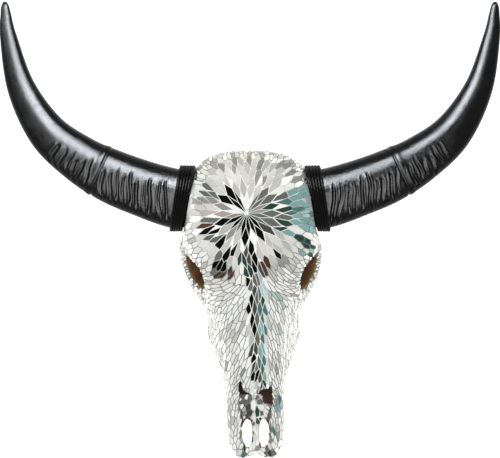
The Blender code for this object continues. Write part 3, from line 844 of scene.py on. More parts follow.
def mix_at(point):
    """Which mix of tints, partly painted reflections, a tile takes at a point."""
    x, y, z = (value / MM for value in point)
    off = x - spine_x(y)
    if on_nose_floor(x, y, z):
        return "nose_floor"
    if -298 < y < MUZZLE_Y and 33 < x - NOSE_MIDDLE_X < 40:
        return "lagoon"
    if z < ARCH_TOP_Z and y > -60:
        return "field"
    if y < -40 and abs(off) < spine_half_width(y) and y > -266:
        if y > SPINE_HEAD_Y:
            return "spine_head"
        if off < -4:
            return "spine_left"
        return "spine_middle" if off < 4 else "spine_right"
    dx, dy = x - STAR_CENTRE.x, y - STAR_CENTRE.y
    reach = math.hypot(dx, dy)
    degrees = math.degrees(math.atan2(dy, dx)) % 360
    for near, far, start, end, mix in STAR_SECTORS:
        turned = degrees + 360 if degrees + 360 <= end else degrees
        if start <= turned <= end and near <= reach < far:
            return mix
    if y > POLL_Y:
        return "crown"
    if y < -330:
        return "lobes"
    if y < -95 and x > spine_x(y) and abs(off) < 48:
        return "mist" if y > -160 else "field"
    return "field"


class TileSeed:
    """Where a tile is centred, which way it runs and how large it is."""

    def __init__(self, point, normal, run, length, width):
        self.point = point
        self.normal = normal
        run = run - normal * run.dot(normal)
        if run.length < 1e-6:
            run = normal.orthogonal()
        self.run = run.normalized()
        self.cross = normal.cross(self.run).normalized()
        self.length = length * MM
        self.width = width * MM
        long_part = np.outer(self.run, self.run) / self.length**2
        wide_part = np.outer(self.cross, self.cross) / self.width**2
        deep_part = np.outer(normal, normal) / self.width**2
        self.metric = long_part + wide_part + deep_part


class SeedBed:
    """Tile seeds laid so that no two are too close for their sizes."""

    def __init__(self):
        self.seeds = []
        self.clad = []
        self.points = np.zeros((MOST_TILES, 3))
        self.metrics = np.zeros((MOST_TILES, 3, 3))

    def has_room(self, seed, spacing):
        count = len(self.seeds)
        if not count:
            return True
        apart = self.points[:count] - np.array(seed.point)
        near = np.nonzero((apart * apart).sum(1) < FARTHEST_NEIGHBOUR**2)[0]
        if not len(near):
            return True
        apart = apart[near]
        metric = (self.metrics[near] + seed.metric) / 2
        measured = np.einsum("ni,nij,nj->n", apart, metric, apart)
        return measured.min() >= spacing**2

    def add(self, seed, clad=True):
        count = len(self.seeds)
        self.points[count] = seed.point
        self.metrics[count] = seed.metric
        self.seeds.append(seed)
        self.clad.append(clad)


def star_outlines(rng):
    """The kites of the star's first two rings in plan, in mm, with shared corners."""
    sizes = bpy.context.scene.skull_mosaic
    rays = sizes.rays
    steps = rng.uniform(0.82, 1.22, rays)
    turns = np.concatenate(([0.0], np.cumsum(steps))) / steps.sum() * 2 * math.pi

    def at(radius, angle):
        return STAR_CENTRE + Vector((math.cos(angle), math.sin(angle))) * radius

    middles = [(turns[i] + turns[i + 1]) / 2 for i in range(rays)]
    middles.append(middles[0] + 2 * math.pi)
    notch = rng.uniform(20.0, 25.0, rays)
    tip = rng.uniform(39.0, 46.0, rays)
    outer = rng.uniform(55.0, 61.0, rays)
    notch = np.append(notch, notch[0])
    tip = np.append(tip, tip[0])
    kites = []
    for i in range(rays):
        start = at(0.0, middles[i])
        left = at(notch[i], turns[i])
        right = at(notch[i + 1], turns[i + 1])
        kites.append((start, left, at(tip[i], middles[i]), right))
        turn = turns[i + 1]
        after = at(tip[i + 1], middles[i + 1])
        kites.append((right, at(tip[i], middles[i]), at(outer[i], turn), after))
    return kites


def turned_out(outline):
    """A plan outline's sides as points and outward directions."""
    sides = []
    middle = sum(outline, Vector((0, 0))) / len(outline)
    for i, start in enumerate(outline):
        end = outline[(i + 1) % len(outline)]
        out = Vector((end.y - start.y, start.x - end.x)).normalized()
        if out.dot(start - middle) < 0:
            out.negate()
        sides.append((start, out))
    return sides


def cut(outline, a, b, limit):
    """The part of a flat outline where a x + b y is not over a limit."""
    kept = []
    for i, here in enumerate(outline):
        after = outline[(i + 1) % len(outline)]
        near = a * here[0] + b * here[1] - limit
        far = a * after[0] + b * after[1] - limit
        if near <= 0:
            kept.append(here)
        if (near < 0 < far) or (far < 0 < near):
            share = near / (near - far)
            kept.append((here[0] + (after[0] - here[0]) * share, here[1] + (after[1] - here[1]) * share))
    return kept


def without_short_sides(outline, shortest):
    """An outline whose corners closer than a length are merged."""
    kept = []
    for point in outline:
        if not kept or math.dist(point, kept[-1]) > shortest:
            kept.append(point)
    while len(kept) > 1 and math.dist(kept[0], kept[-1]) <= shortest:
        kept.pop()
    return kept


def area_of(outline):
    total = 0.0
    for (x0, y0), (x1, y1) in zip(outline, outline[1:] + outline[:1]):
        total += x0 * y1 - x1 * y0
    return abs(total) / 2


def cell_of(index, bed, near_tree, kites, gap):
    """The outline of a seed's tile in its own plane: all that is nearer to it than to others."""
    seed = bed.seeds[index]
    long_half, wide_half = seed.length * CELL_SHARES[0], seed.width * CELL_SHARES[1]
    outline = [(-long_half, -wide_half), (long_half, -wide_half)]
    outline += [(long_half, wide_half), (-long_half, wide_half)]
    for point, other, _ in near_tree.find_range(seed.point, seed.length * 1.7):
        if other == index:
            continue
        neighbour = bed.seeds[other]
        if neighbour.normal.dot(seed.normal) < -0.3:
            continue
        apart = np.array(neighbour.point - seed.point)
        metric = (seed.metric + neighbour.metric) / 2
        pull = metric @ apart
        a = float(pull @ np.array(seed.run))
        b = float(pull @ np.array(seed.cross))
        slope = math.hypot(a, b)
        if slope < 1e-9:
            continue
        limit = float(pull @ apart) / 2 - gap / 2 * slope
        outline = cut(outline, a, b, limit)
        if len(outline) < 3:
            return []
    plan = Vector((seed.point.x, seed.point.y)) / MM
    if (plan - STAR_CENTRE).length < STAR_CUT_REACH:
        for sides in kites:
            start, out = max(sides, key=lambda side: (plan - side[0]).dot(side[1]))
            a = -(out.x * seed.run.x + out.y * seed.run.y)
            b = -(out.x * seed.cross.x + out.y * seed.cross.y)
            limit = (out.dot(plan - start) - gap / MM) * MM
            outline = cut(outline, a, b, limit)
            if len(outline) < 3:
                return []
    outline = without_short_sides(outline, SHORTEST_SIDE)
    return outline if len(outline) >= 3 and area_of(outline) > SMALLEST_CELL else []


def drawn_in(corners, centre, skin, clad):
    """An outline whose corners are drawn in where they would hang over bare bone or an edge."""
    kept = []
    for corner in corners:
        for step in range(8):
            point = corner.lerp(centre, step * 0.09)
            _, index, away = skin.nearby.find(point)
            if clad[index] and away < OVERHANG * MM:
                break
        kept.append(point)
    return kept


def settle(points, skin, rng, tilt):
    """Lays an outline's corners in one plane that fits the bone under them."""
    beds, total = [], Vector((0, 0, 0))
    for point in points:
        found = skin.tree.find_nearest(point)
        beds.append(found[0])
        total += skin.normal_at(found[0])
    normal = total.normalized()
    middle = sum(points, Vector((0, 0, 0))) / len(points)
    heights = [(bed - middle).dot(normal) for bed in beds]
    lift = (sum(heights) / len(heights) + max(heights)) / 2
    centre_bed = skin.tree.find_nearest(middle)[0]
    lift = max(lift, (centre_bed - middle).dot(normal) - TILE_DIP)
    lift = min(lift, sum(heights) / len(heights) + TILE_LIFT)
    side = normal.orthogonal().normalized()
    other = normal.cross(side)
    lean = rng.normal(0.0, 0.5, 2) * math.tan(tilt)
    flat = (normal + side * lean[0] + other * lean[1]).normalized()
    laid = []
    for point in points:
        away = point - middle
        on_plane = away - normal * (away.dot(flat) / normal.dot(flat))
        laid.append(middle + normal * lift + on_plane)
    return laid, flat


def facing(points, normal):
    """The points in the order that makes their face look along a normal."""
    total = Vector((0, 0, 0))
    for here, after in zip(points, points[1:] + points[:1]):
        total += here.cross(after)
    return points if total.dot(normal) > 0 else points[::-1]


class TileSheet:
    """Flat tile outlines and their tints, partly painted reflections, before they get their thickness."""

    def __init__(self, name):
        self.name = name
        self.corners = []
        self.faces = []
        self.colours = []

    def add(self, points, normal, tint_and_reflection, rng):
        start = len(self.corners)
        points = facing(points, normal)
        self.corners.extend(points)
        self.faces.append(tuple(range(start, start + len(points))))
        shade = 1 + rng.normal(0.0, 0.05)
        warmth = rng.normal(0.0, 0.012)
        red, green, blue = to_linear(TINTS_AND_REFLECTIONS[tint_and_reflection])
        colour = (red * shade * (1 + warmth), green * shade, blue * shade * (1 - warmth), 1.0)
        self.colours.extend([tuple(min(max(c, 0.0), 1.0) for c in colour)] * len(points))

    def to_piece(self, material, thickness):
        """The tiles as a piece, each grown to a closed plate with ground edges."""
        mesh = bpy.data.meshes.new(self.name)
        mesh.from_pydata(self.corners, [], self.faces)
        # Each tile's tint: partly its glass colour, partly a painted reflection
        layer = mesh.attributes.new("tint_and_reflection", "FLOAT_COLOR", "POINT")
        layer.data.foreach_set("color", np.array(self.colours, dtype=np.float32).ravel())
        piece = make_piece(self.name, mesh)
        sizes = bpy.context.scene.skull_mosaic
        values = {"Thickness": thickness, "Bed": sizes.sink, "Ground Edge": sizes.bevel}
        grow_by_nodes(piece, plate_tree(material), values)
        return make_plain(piece)


def grow_by_nodes(piece, tree, values):
    """Puts a Geometry Nodes tree on a piece, with its inputs set by their identifiers."""
    modifier = piece.modifiers.new("shape", "NODES")
    modifier.node_group = tree
    for item in tree.interface.items_tree:
        if item.item_type == "SOCKET" and item.in_out == "INPUT" and item.name in values:
            modifier[item.identifier] = values[item.name]


def new_tree(name, numbers):
    """A geometry tree with named number inputs: the graph, its inputs and its last step."""
    tree = bpy.data.node_groups.new(name, "GeometryNodeTree")
    tree.interface.new_socket("Geometry", in_out="INPUT", socket_type="NodeSocketGeometry")
    for title, value in numbers:
        socket = tree.interface.new_socket(title, in_out="INPUT", socket_type="NodeSocketFloat")
        socket.default_value = value
    tree.interface.new_socket("Geometry", in_out="OUTPUT", socket_type="NodeSocketGeometry")
    graph = Graph(tree)
    entry = graph.node("NodeGroupInput")
    inputs = {title: Wire(graph, entry.outputs[title]) for title in ["Geometry", *(n for n, _ in numbers)]}

    def finish(geometry, material):
        real = graph.wire("GeometryNodeRealizeInstances", None, {"Geometry": geometry})
        coated = graph.wire("GeometryNodeSetMaterial", None, {"Geometry": real, "Material": material})
        graph.node("NodeGroupOutput", None, {"Geometry": coated})
        return tree

    return graph, inputs, finish


def plate_tree(material):
    """Grows each flat outline to a closed plate: bedded below, proud above, its edge ground."""
    numbers = (("Thickness", 0.001), ("Bed", 0.002), ("Ground Edge", 0.0003), ("Ground Share", 0.955))
    graph, inputs, finish = new_tree("tile plates", numbers)
    normal = graph.wire("GeometryNodeInputNormal")
    scaled = {0: normal, "Scale": inputs["Bed"] * -1}
    down = graph.wire("ShaderNodeVectorMath", {"operation": "SCALE"}, scaled)
    moved = {"Geometry": inputs["Geometry"], "Offset": down}
    bedded = graph.wire("GeometryNodeSetPosition", None, moved)
    rise = inputs["Bed"] + inputs["Thickness"] - inputs["Ground Edge"]

    def raised(mesh, faces, height):
        sockets = {"Mesh": mesh, "Selection": faces, "Offset Scale": height, "Individual": True}
        return graph.node("GeometryNodeExtrudeMesh", {"mode": "FACES"}, sockets)

    grown = raised(bedded, True, rise)
    edged = raised(grown.outputs["Mesh"], grown.outputs["Top"], inputs["Ground Edge"])
    tops = {"Geometry": edged.outputs["Mesh"], "Selection": edged.outputs["Top"]}
    tops["Scale"] = inputs["Ground Share"]
    ground = graph.wire("GeometryNodeScaleElements", {"domain": "FACE"}, tops)
    side_faces = {0: grown.outputs["Side"], 1: edged.outputs["Side"]}
    both = graph.node("FunctionNodeBooleanMath", {"operation": "OR"}, side_faces)
    marked = graph.wire(
        "GeometryNodeStoreNamedAttribute",
        {"data_type": "FLOAT", "domain": "FACE"},
        {"Geometry": ground, "Name": "edge", "Selection": both.outputs[0], "Value": 1.0},
    )
    base = graph.wire("GeometryNodeFlipFaces", None, {"Mesh": bedded})
    joined = graph.node("GeometryNodeJoinGeometry")
    graph.tree.links.new(base.socket, joined.inputs[0])
    graph.tree.links.new(marked.socket, joined.inputs[0])
    near = {"Geometry": joined.outputs[0], "Distance": 0.000002}
    closed = graph.wire("GeometryNodeMergeByDistance", None, near)
    return finish(closed, material)


def lay_spine(bed, skin, rng):
    """Seeds of the long lozenges that run down the middle of the nose."""
    length, width = SPINE_TILE
    for column in range(-4, 5):
        offset = column * width / 2
        start = SPINE_START_Y - (column % 2) * length / 2
        for row in range(8):
            y = start - row * length + rng.normal(0.0, 3.2)
            if y < SPINE_END_Y or abs(offset) > spine_half_width(y):
                continue
            x = spine_x(y) + offset + rng.normal(0.0, 0.5)
            point = skin.drop(x * MM, y * MM)
            if point is None:
                continue
            ahead = Vector((spine_x(y - 12) - spine_x(y + 12), -24.0, 0))
            seed = TileSeed(point, skin.normal_at(point), ahead, length, width)
            if bed.has_room(seed, 0.5):
                bed.add(seed)


def lay_rings(bed, skin, rng, inside_star):
    """Seeds of the lozenges that carry the star outward, in staggered rings."""
    phase = 0.0
    for radius in STAR_RING_RADII:
        count = round(2 * math.pi * radius / STAR_RING_PITCH)
        phase += 0.5
        for i in range(count):
            angle = 2 * math.pi * (i + phase) / count + rng.normal(0.0, 0.012)
            reach = radius + rng.normal(0.0, 1.2)
            away = Vector((math.cos(angle), math.sin(angle), 0))
            x, y = STAR_CENTRE.x + away.x * reach, STAR_CENTRE.y + away.y * reach
            point = skin.drop(x * MM, y * MM)
            if point is None or inside_star(point):
                continue
            normal = skin.normal_at(point)
            if normal.z < 0.35 or y < -80:
                continue
            seed = TileSeed(point, normal, away, *STAR_RING_TILE)
            if bed.has_room(seed, 0.56):
                bed.add(seed)


def lay_field(bed, skin, clad, rng, inside_star):
    """Seeds everywhere else, in a random order, each where it has room."""
    sizes = bpy.context.scene.skull_mosaic
    at_cord = by_cord(skin.points, 9)
    for index in rng.permutation(len(skin.points)):
        point = Vector(skin.points[index])
        if point.z < 0.01 or inside_star(point):
            continue
        normal = Vector(skin.soft_normals[index])
        run, length, width = lay_of(point, normal)
        stiff = 9 if point.y / MM > -340 else 4
        fit = 0.85 if at_cord[index] else max(0.48, 1 / (1 + stiff * skin.bend[index]))
        length *= fit * rng.uniform(0.85, 1.2)
        width *= max(fit, 0.55) * rng.uniform(0.88, 1.15)
        seed = TileSeed(point, normal, run, length, width)
        if bed.has_room(seed, sizes.spacing):
            bed.add(seed, bool(clad[index]))


def lay_mosaic(skin, clad, material):
    """All the tiles: the star's kites, then a cell of the bone for every other seed."""
    sizes = bpy.context.scene.skull_mosaic
    rng = np.random.default_rng(sizes.seed)
    kites = star_outlines(rng)
    kite_sides = [turned_out(kite) for kite in kites]

    def inside_star(point, margin=2.0):
        if point.z < 0.1:
            return False
        plan = Vector((point.x, point.y)) / MM
        if (plan - STAR_CENTRE).length > STAR_REACH:
            return False
        for sides in kite_sides:
            if max((plan - start).dot(out) for start, out in sides) < margin:
                return True
        return False

    star = TileSheet("star_tiles")
    for kite, sides in zip(kites, kite_sides):
        outline = [(corner.x, corner.y) for corner in kite]
        for start, out in sides:
            outline = cut(outline, out.x, out.y, out.dot(start) - sizes.star_joint / MM / 2)
        corners = [skin.drop(x * MM, y * MM) for x, y in outline]
        if len(corners) < 3 or any(corner is None for corner in corners):
            continue
        laid, normal = settle(corners, skin, rng, sizes.tilt)
        middle = sum(laid, Vector((0, 0, 0))) / len(laid)
        star.add(laid, normal, pick(mix_at(middle), rng.random()), rng)

    bed = SeedBed()
    lay_spine(bed, skin, rng)
    lay_rings(bed, skin, rng, inside_star)
    lay_field(bed, skin, clad, rng, inside_star)
    near_tree = KDTree(len(bed.seeds))
    for index, seed in enumerate(bed.seeds):
        near_tree.insert(seed.point, index)
    near_tree.balance()
    field = TileSheet("field_tiles")
    for index, seed in enumerate(bed.seeds):
        if not bed.clad[index]:
            continue
        in_star = star_shares(np.array([seed.point]))[0] > 0.5
        gap = sizes.star_joint if in_star else sizes.grout
        outline = cell_of(index, bed, near_tree, kite_sides, gap)
        if not outline:
            continue
        corners = [seed.point + seed.run * a + seed.cross * b for a, b in outline]
        corners = drawn_in(corners, seed.point, skin, clad)
        laid, normal = settle(corners, skin, rng, sizes.tilt)
        sheet = star if in_star else field
        sheet.add(laid, normal, pick(mix_at(seed.point), rng.random()), rng)
    return star.to_piece(material, sizes.star_thickness), field.to_piece(material, sizes.thickness)


def star_shares(points):
    """Where the grout is white: in the star and along the spine."""
    shares = np.zeros(len(points))
    for i, (x, y, _) in enumerate(points / MM):
        reach = math.hypot(x - STAR_CENTRE.x, y - STAR_CENTRE.y)
        shares[i] = min(max((100 - reach) / 14, 0.0), 1.0)
        if y < -30:
            off = abs(x - spine_x(y)) - spine_half_width(y)
            shares[i] = max(shares[i], min(max((6 - off) / 5, 0.0), 1.0))
    return shares


def smooth_value(values, place):
    """A Catmull-Rom curve through evenly counted values, read at place from 0 to len - 1."""
    last = len(values) - 1
    index = min(int(place), last - 1)
    t = place - index
    before = values[max(index - 1, 0)]
    start = values[index]
    end = values[index + 1]
    after = values[min(index + 2, last)]
    slope_in = (end - before) / 2
    slope_out = (after - start) / 2
    t2 = t * t
    t3 = t2 * t
    eased = start * (2 * t3 - 3 * t2 + 1) + slope_in * (t3 - 2 * t2 + t)
    return eased + end * (3 * t2 - 2 * t3) + slope_out * (t3 - t2)


def horn_plane(edge):
    """One edge of the cord on the +X horn as a middle point and a direction along the horn."""
    top, bottom = edge
    along = Vector((top[0] - bottom[0], top[1] - bottom[1], 0)).normalized()
    normal = along.cross(Vector((0, 0, 1)))
    if normal.x < 0:
        normal.negate()
    return Vector(((top[0] + bottom[0]) / 2, (top[1] + bottom[1]) / 2, HORN_BASE_Z)), normal


def horn_place(place):
    """The horn's cross-section at a place along it, and the way it grows there."""
    inner, inner_way = horn_plane(CORD_INNER_EDGE)
    outer, outer_way = horn_plane(CORD_OUTER_EDGE)
    first = HornStation(*inner, *HORN_BASE_SIZE)
    second = HornStation(*outer, *HORN_NECK_SIZE)
    if place < 1:
        here = HornStation(*(a + (b - a) * place for a, b in zip(first, second)))
        return here, inner_way.lerp(outer_way, place).normalized()
    stations = (first, second, *HORN_STATIONS)
    columns = list(zip(*stations))
    here = HornStation(*(smooth_value(column, place) for column in columns))
    last = len(stations) - 1
    ahead = [smooth_value(column, min(place + 0.05, last)) for column in columns[:3]]
    behind = [smooth_value(column, place - 0.05) for column in columns[:3]]
    along = (Vector(ahead) - Vector(behind)).normalized()
    if place < 1.6:
        along = outer_way.lerp(along, (place - 1) / 0.6).normalized()
    return here, along


def horn_point(here, along, degrees, grow, side):
    """A point on a horn's skin, grown outward by some mm, in metres."""
    wide = Vector((0, 0, 1)).cross(along).normalized()
    deep = along.cross(wide).normalized()
    angle = math.radians(degrees)
    bulge = 1 + HORN_BULGE * math.cos(3 * (angle - math.radians(HORN_CREST_DEGREES)))
    out = wide * ((here.width / 2 + grow) * bulge * math.cos(angle) + HORN_BULGE * here.width / 2)
    up = deep * ((here.depth / 2 + grow) * bulge * math.sin(angle))
    point = Vector((here.x, here.y, here.z)) + out + up
    return Vector((side * point.x, point.y + FRAME_SHIFT_Y, point.z)) * MM


def ease(value):
    value = min(max(value, 0.0), 1.0)
    return value * value * (3 - 2 * value)


def growth_grooves(rng):
    """The growth grooves of a horn: place, slant, width, depth, and where they start and end."""
    sizes = bpy.context.scene.skull_horns
    grooves = []
    for first, last, count, slant in GROOVE_RUNS:
        step = (last - first) / count
        for i in range(count):
            place = first + (i + 0.5) * step + rng.normal(0.0, 0.02)
            grooves.append(
                {
                    "place": place,
                    "slant": rng.normal(slant, 0.03),
                    "wobble": rng.uniform(0.01, 0.026),
                    "phase": rng.uniform(0, 6.28),
                    "width": rng.uniform(0.034, 0.066),
                    "depth": sizes.groove_depth / MM * (1.2 - 0.14 * place) * rng.uniform(0.8, 1.2),
                    "start": rng.uniform(62, 82) + 5.5 * (place - 1),
                    "end": rng.uniform(148, 168),
                }
            )
    return grooves


def groove_dent(grooves, place, degrees):
    """How deep the grooves are at a point of a horn, in mm, and how far in a groove it is."""
    dent, share = 0.0, 0.0
    for groove in grooves:
        middle = groove["place"] + groove["slant"] * (degrees - 105) / 60
        middle += groove["wobble"] * math.sin(math.radians(degrees * 5) + groove["phase"])
        off = (place - middle) / groove["width"]
        if abs(off) > 2.6:
            continue
        window = ease((degrees - groove["start"]) / 9) * ease((groove["end"] - degrees) / 16)
        deep = math.exp(-off * off * 2.2) * window
        lip = math.exp(-((abs(off) - 1.3) ** 2) * 5) * window
        dent += groove["depth"] * (deep - GROOVE_LIP * lip)
        share = max(share, deep)
    return dent, share


def ring_step(place, degrees):
    """The one full ring of a horn: a swelling that ends in a sharp step."""
    middle = RING_PLACE + 0.02 * math.sin(math.radians(degrees * 3))
    off = place - middle
    swell = math.exp(-((off - 0.1) ** 2) / 0.008) * RING_SWELL
    deep = math.exp(-(off**2) / 0.0008)
    return deep * RING_DEPTH - swell, deep


def horn_piece(mark, side, material):
    """One horn: its curve, the growth grooves over the lower part and a plain polished tip."""
    sizes = bpy.context.scene.skull_horns
    rng = np.random.default_rng(40 + side)
    grooves = growth_grooves(rng)
    last = float(len(HORN_STATIONS) + 1)
    places = [i / ROOT_ROWS for i in range(ROOT_ROWS)]
    places += [1 + i * GROOVED_STEP for i in range(int(GROOVED_LENGTH / GROOVED_STEP))]
    places += [places[-1] + (last - places[-1]) * (i + 1) / TIP_ROWS for i in range(TIP_ROWS)]
    bm = bmesh.new()
    growth = bm.loops.layers.uv.new("growth")
    marks = bm.verts.layers.float.new("groove")
    rows = []
    for place in places:
        here, along = horn_place(place)
        row = []
        for i in range(sizes.segments):
            degrees = 360 * i / sizes.segments
            dent, share = groove_dent(grooves, place, degrees)
            step, nick = ring_step(place, degrees) if place > 2 else (0.0, 0.0)
            vertex = bm.verts.new(horn_point(here, along, degrees, -dent - step, side))
            vertex[marks] = max(share, nick)
            row.append(vertex)
        rows.append(row)
    count = sizes.segments
    for r in range(len(rows) - 1):
        for i in range(count):
            j = (i + 1) % count
            face = bm.faces.new((rows[r][i], rows[r][j], rows[r + 1][j], rows[r + 1][i]))
            face.smooth = True
            corners = ((r, i), (r, i + 1), (r + 1, i + 1), (r + 1, i))
            for loop, (row, step) in zip(face.loops, corners):
                loop[growth].uv = (places[row], step / count)
    bm.faces.new(rows[0])
    bm.faces.new(rows[-1])
    bmesh.ops.recalc_face_normals(bm, faces=bm.faces)
    mesh = bpy.data.meshes.new(f"horn_shell_{mark}")
    bm.to_mesh(mesh)
    bm.free()
    return make_piece(f"horn_shell_{mark}", mesh, material)


def cord_tree(material):
    """Sweeps three twisted strands along a path and closes the ends."""
    numbers = (("Thickness", 0.0058), ("Lay", 0.02), ("Strand Depth", 0.03))
    graph, inputs, finish = new_tree("laid cord", numbers)
    run = graph.wire("GeometryNodeSplineParameter", None, None, "Length")
    tilt = run / inputs["Lay"] * (2 * math.pi)
    twisted = graph.wire("GeometryNodeSetCurveTilt", None, {"Curve": inputs["Geometry"], "Tilt": tilt})
    round_sizes = {"Resolution": 18, "Radius": 1.0}
    circle = graph.wire("GeometryNodeCurvePrimitiveCircle", {"mode": "RADIUS"}, round_sizes)
    turn = graph.wire("GeometryNodeSplineParameter") * (6 * math.pi)
    lobes = graph.wire("ShaderNodeMath", {"operation": "COSINE"}, {0: turn})
    reach = inputs["Thickness"] * 0.5 * (1 - inputs["Strand Depth"] + lobes * inputs["Strand Depth"])
    place = graph.wire("GeometryNodeInputPosition")
    lobed = graph.wire("ShaderNodeVectorMath", {"operation": "SCALE"}, {0: place, "Scale": reach})
    profile = graph.wire("GeometryNodeSetPosition", None, {"Geometry": circle, "Position": lobed})
    sweep = {"Curve": twisted, "Profile Curve": profile, "Fill Caps": True}
    swept = graph.wire("GeometryNodeCurveToMesh", None, sweep)
    smooth = graph.wire("GeometryNodeSetShadeSmooth", None, {"Geometry": swept})
    return finish(smooth, material)


def cord_path(side):
    """The cord's middle line: close turns that ride over one another at the front edge."""
    sizes = bpy.context.scene.skull_horns
    thick = sizes.cord / MM
    middle, spread, rise = CORD_CROSSING
    total = sizes.turns * CORD_STEPS
    edge = 0.5 / sizes.turns
    points = []
    for i in range(total + 1):
        turn = i / CORD_STEPS
        degrees = (270 + 360 * turn) % 360
        place = edge * 0.9 + (1 - 1.8 * edge) * turn / sizes.turns
        here, along = horn_place(min(max(place, 0.0), 0.999))
        front = math.exp(-(((degrees - middle) / spread) ** 2))
        crossing = math.sin(turn * math.pi + 0.6) ** 2
        lift = 0.4 + thick / 2 + rise * front * crossing
        tuck = 2.0 * ease(1 - min(i, total - i) / 12)
        points.append(horn_point(here, along, degrees, lift - tuck, side))
    return points


def cord_piece(mark, side, material):
    """The cord wound on one horn's root."""
    sizes = bpy.context.scene.skull_horns
    points = cord_path(side)
    curve = bpy.data.curves.new(f"cord_path_{mark}", "CURVE")
    curve.dimensions = "3D"
    spline = curve.splines.new("POLY")
    spline.points.add(len(points) - 1)
    for slot, point in zip(spline.points, points):
        slot.co = (*point, 1.0)
    path = bpy.data.objects.new(f"cord_{mark}", curve)
    bpy.context.scene.collection.objects.link(path)
    grow_by_nodes(path, cord_tree(material), {"Thickness": sizes.cord, "Lay": sizes.lay})
    plain = make_plain(path)
    plain.name = f"cord_winding_{mark}"
    return plain


class SKULL_OT_bone(bpy.types.Operator):
    """Fuse the bones, mark where the mosaic covers them, and lay the tiles"""

    bl_idname = "skull.bone_and_tiles"
    bl_label = "Bone and Tiles"

    def execute(self, context):
        bone = fused_bone()
        skin = Skin(bone.data)
        open_shares = skin.open_shares()
        clad = clad_shares(skin, open_shares)
        # Painted shade: the open share is lowered in the nose and the eye sockets so that they come out
        # darker
        shaded = np.where(in_nose(skin.points), open_shares * 0.15, open_shares)
        shaded = np.where(in_orbit(skin.points), open_shares * 0.9 - 0.22, shaded)
        store(bone.data, "openness_and_painted_shade", skin.evened(shaded, 2))
        store(bone.data, "clad", clad | by_cord(skin.points, 9))
        store(bone.data, "star_share", star_shares(skin.points))
        store(bone.data, "tooth_share", in_tooth_row(skin.points))
        bone.data.materials.clear()
        bone.data.materials.append(bone_material())
        for polygon in bone.data.polygons:
            polygon.use_smooth = True
        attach(bone, "root")
        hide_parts(*BONES)
        for sheet in lay_mosaic(skin, clad, tile_material()):
            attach(sheet, "root")
        return {"FINISHED"}


class SKULL_OT_horns(bpy.types.Operator):
    """Make the two polished horns"""

    bl_idname = "skull.horns"
    bl_label = "Horns"

    def execute(self, context):
        material = horn_material()
        for mark, side in SIDES:
            piece = horn_piece(mark, side, material)
            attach(piece, "root")
            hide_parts(f"horn_{mark}")
        return {"FINISHED"}


class SKULL_OT_cords(bpy.types.Operator):
    """Wind the cord on the two horn roots"""

    bl_idname = "skull.cords"
    bl_label = "Cord Windings"

    def execute(self, context):
        material = cord_material()
        for mark, side in SIDES:
            piece = cord_piece(mark, side, material)
            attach(piece, "root")
            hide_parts(f"binding_{mark}")
        return {"FINISHED"}


def soft_box(name, place, aim, size, power, only=None):
    """A large soft light at a place, turned to a point, and for only some pieces if any are given."""
    light = bpy.data.lights.new(name, "AREA")
    light.shape = "RECTANGLE"
    light.size, light.size_y = size
    light.energy = power
    lamp = bpy.data.objects.new(name, light)
    bpy.context.scene.collection.objects.link(lamp)
    lamp.location = place
    lamp.rotation_euler = (Vector(aim) - Vector(place)).to_track_quat("-Z", "Y").to_euler()
    lamp.visible_camera = False
    if only:
        lit = bpy.data.collections.new(name + "_lit")
        for piece in only:
            lit.objects.link(piece)
        lamp.light_linking.receiver_collection = lit
    return lamp


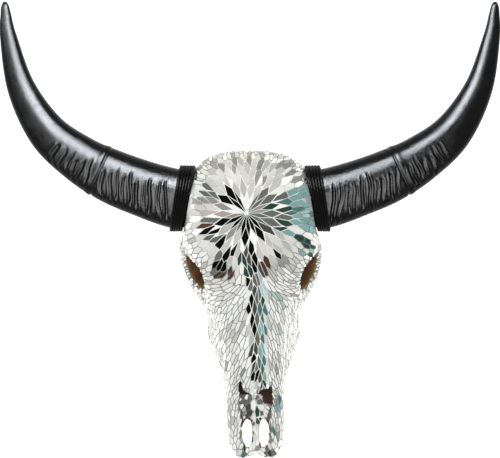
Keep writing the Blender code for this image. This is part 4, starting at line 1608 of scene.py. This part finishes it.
class SKULL_OT_stage(bpy.types.Operator):
    """Set the floor, the soft lights and the camera"""

    bl_idname = "skull.stage"
    bl_label = "Stage"

    def execute(self, context):
        mesh = bpy.data.meshes.new("studio_floor")
        half = FLOOR_HALF
        corners = [(-half, -half, 0), (half, -half, 0), (half, half, 0), (-half, half, 0)]
        mesh.from_pydata(corners, [], [(0, 1, 2, 3)])
        floor = make_piece("studio_floor", mesh, floor_material())
        horns = [bpy.data.objects[f"horn_shell_{mark}"] for mark, _ in SIDES]
        cords = [bpy.data.objects[f"cord_winding_{mark}"] for mark, _ in SIDES]
        top = soft_box("top_box", (-0.6, 1.3, 2.8), (-0.4, 0.5, 0.12), (3.4, 1.7), 2500.0, horns)
        top.data.color = (0.88, 0.94, 1.0)
        soft_box("front_box", (-0.3, -1.2, 2.7), (0, 0.1, 0.12), (3.4, 2.0), 620.0, horns)
        soft_box("cord_box", (-0.5, 0.9, 2.6), (0, 0.05, 0.15), (0.7, 2.0), 200.0, cords)
        soft_box("back_box", (0.0, 2.3, 1.75), (0, 0, 0.1), (3.2, 0.8), 3.5)
        soft_box("side_box", (-2.4, -0.4, 1.9), (0, 0, 0.1), (1.2, 2.4), 3.5)
        world = bpy.data.worlds.new("studio")
        context.scene.world = world
        world.use_nodes = True
        background = world.node_tree.nodes["Background"]
        background.inputs["Color"].default_value = (1.0, 1.0, 1.0, 1.0)
        background.inputs["Strength"].default_value = 1.0
        context.scene.view_settings.view_transform = "Standard"
        camera = bpy.data.cameras.new("photo_camera")
        camera.sensor_width = 36.0
        camera.lens = CAMERA_LENS
        view = bpy.data.objects.new("photo_camera", camera)
        view.location = (0.0, FRAME_SHIFT_Y * MM, CAMERA_HEIGHT)
        context.scene.collection.objects.link(view)
        context.scene.camera = view
        return {"FINISHED"}


STEPS = (SKULL_OT_bone, SKULL_OT_horns, SKULL_OT_cords, SKULL_OT_stage)


class SKULL_PT_panel(bpy.types.Panel):
    """Lists the steps that dress the skull, and their sizes and colours."""

    bl_idname = "SKULL_PT_panel"
    bl_label = "Mosaic Buffalo Skull"
    bl_space_type = "VIEW_3D"
    bl_region_type = "UI"
    bl_category = "Skull"

    def draw(self, context):
        for step in STEPS:
            self.layout.operator(step.bl_idname)
        for group in (context.scene.skull_mosaic, context.scene.skull_horns, context.scene.skull_finishes):
            box = self.layout.box()
            for name in group.__annotations__:
                box.prop(group, name)


CLASSES = (MosaicSizes, HornSizes, Finishes, *STEPS, SKULL_PT_panel)


def register():
    for made in CLASSES:
        bpy.utils.register_class(made)
    bpy.types.Scene.skull_mosaic = PointerProperty(type=MosaicSizes)
    bpy.types.Scene.skull_horns = PointerProperty(type=HornSizes)
    bpy.types.Scene.skull_finishes = PointerProperty(type=Finishes)


def unregister():
    del bpy.types.Scene.skull_finishes
    del bpy.types.Scene.skull_horns
    del bpy.types.Scene.skull_mosaic
    for made in reversed(CLASSES):
        bpy.utils.unregister_class(made)


def main():
    register()
    bpy.ops.skull.bone_and_tiles()
    bpy.ops.skull.horns()
    bpy.ops.skull.cords()
    bpy.ops.skull.stage()


if __name__ == "__main__":
    main()
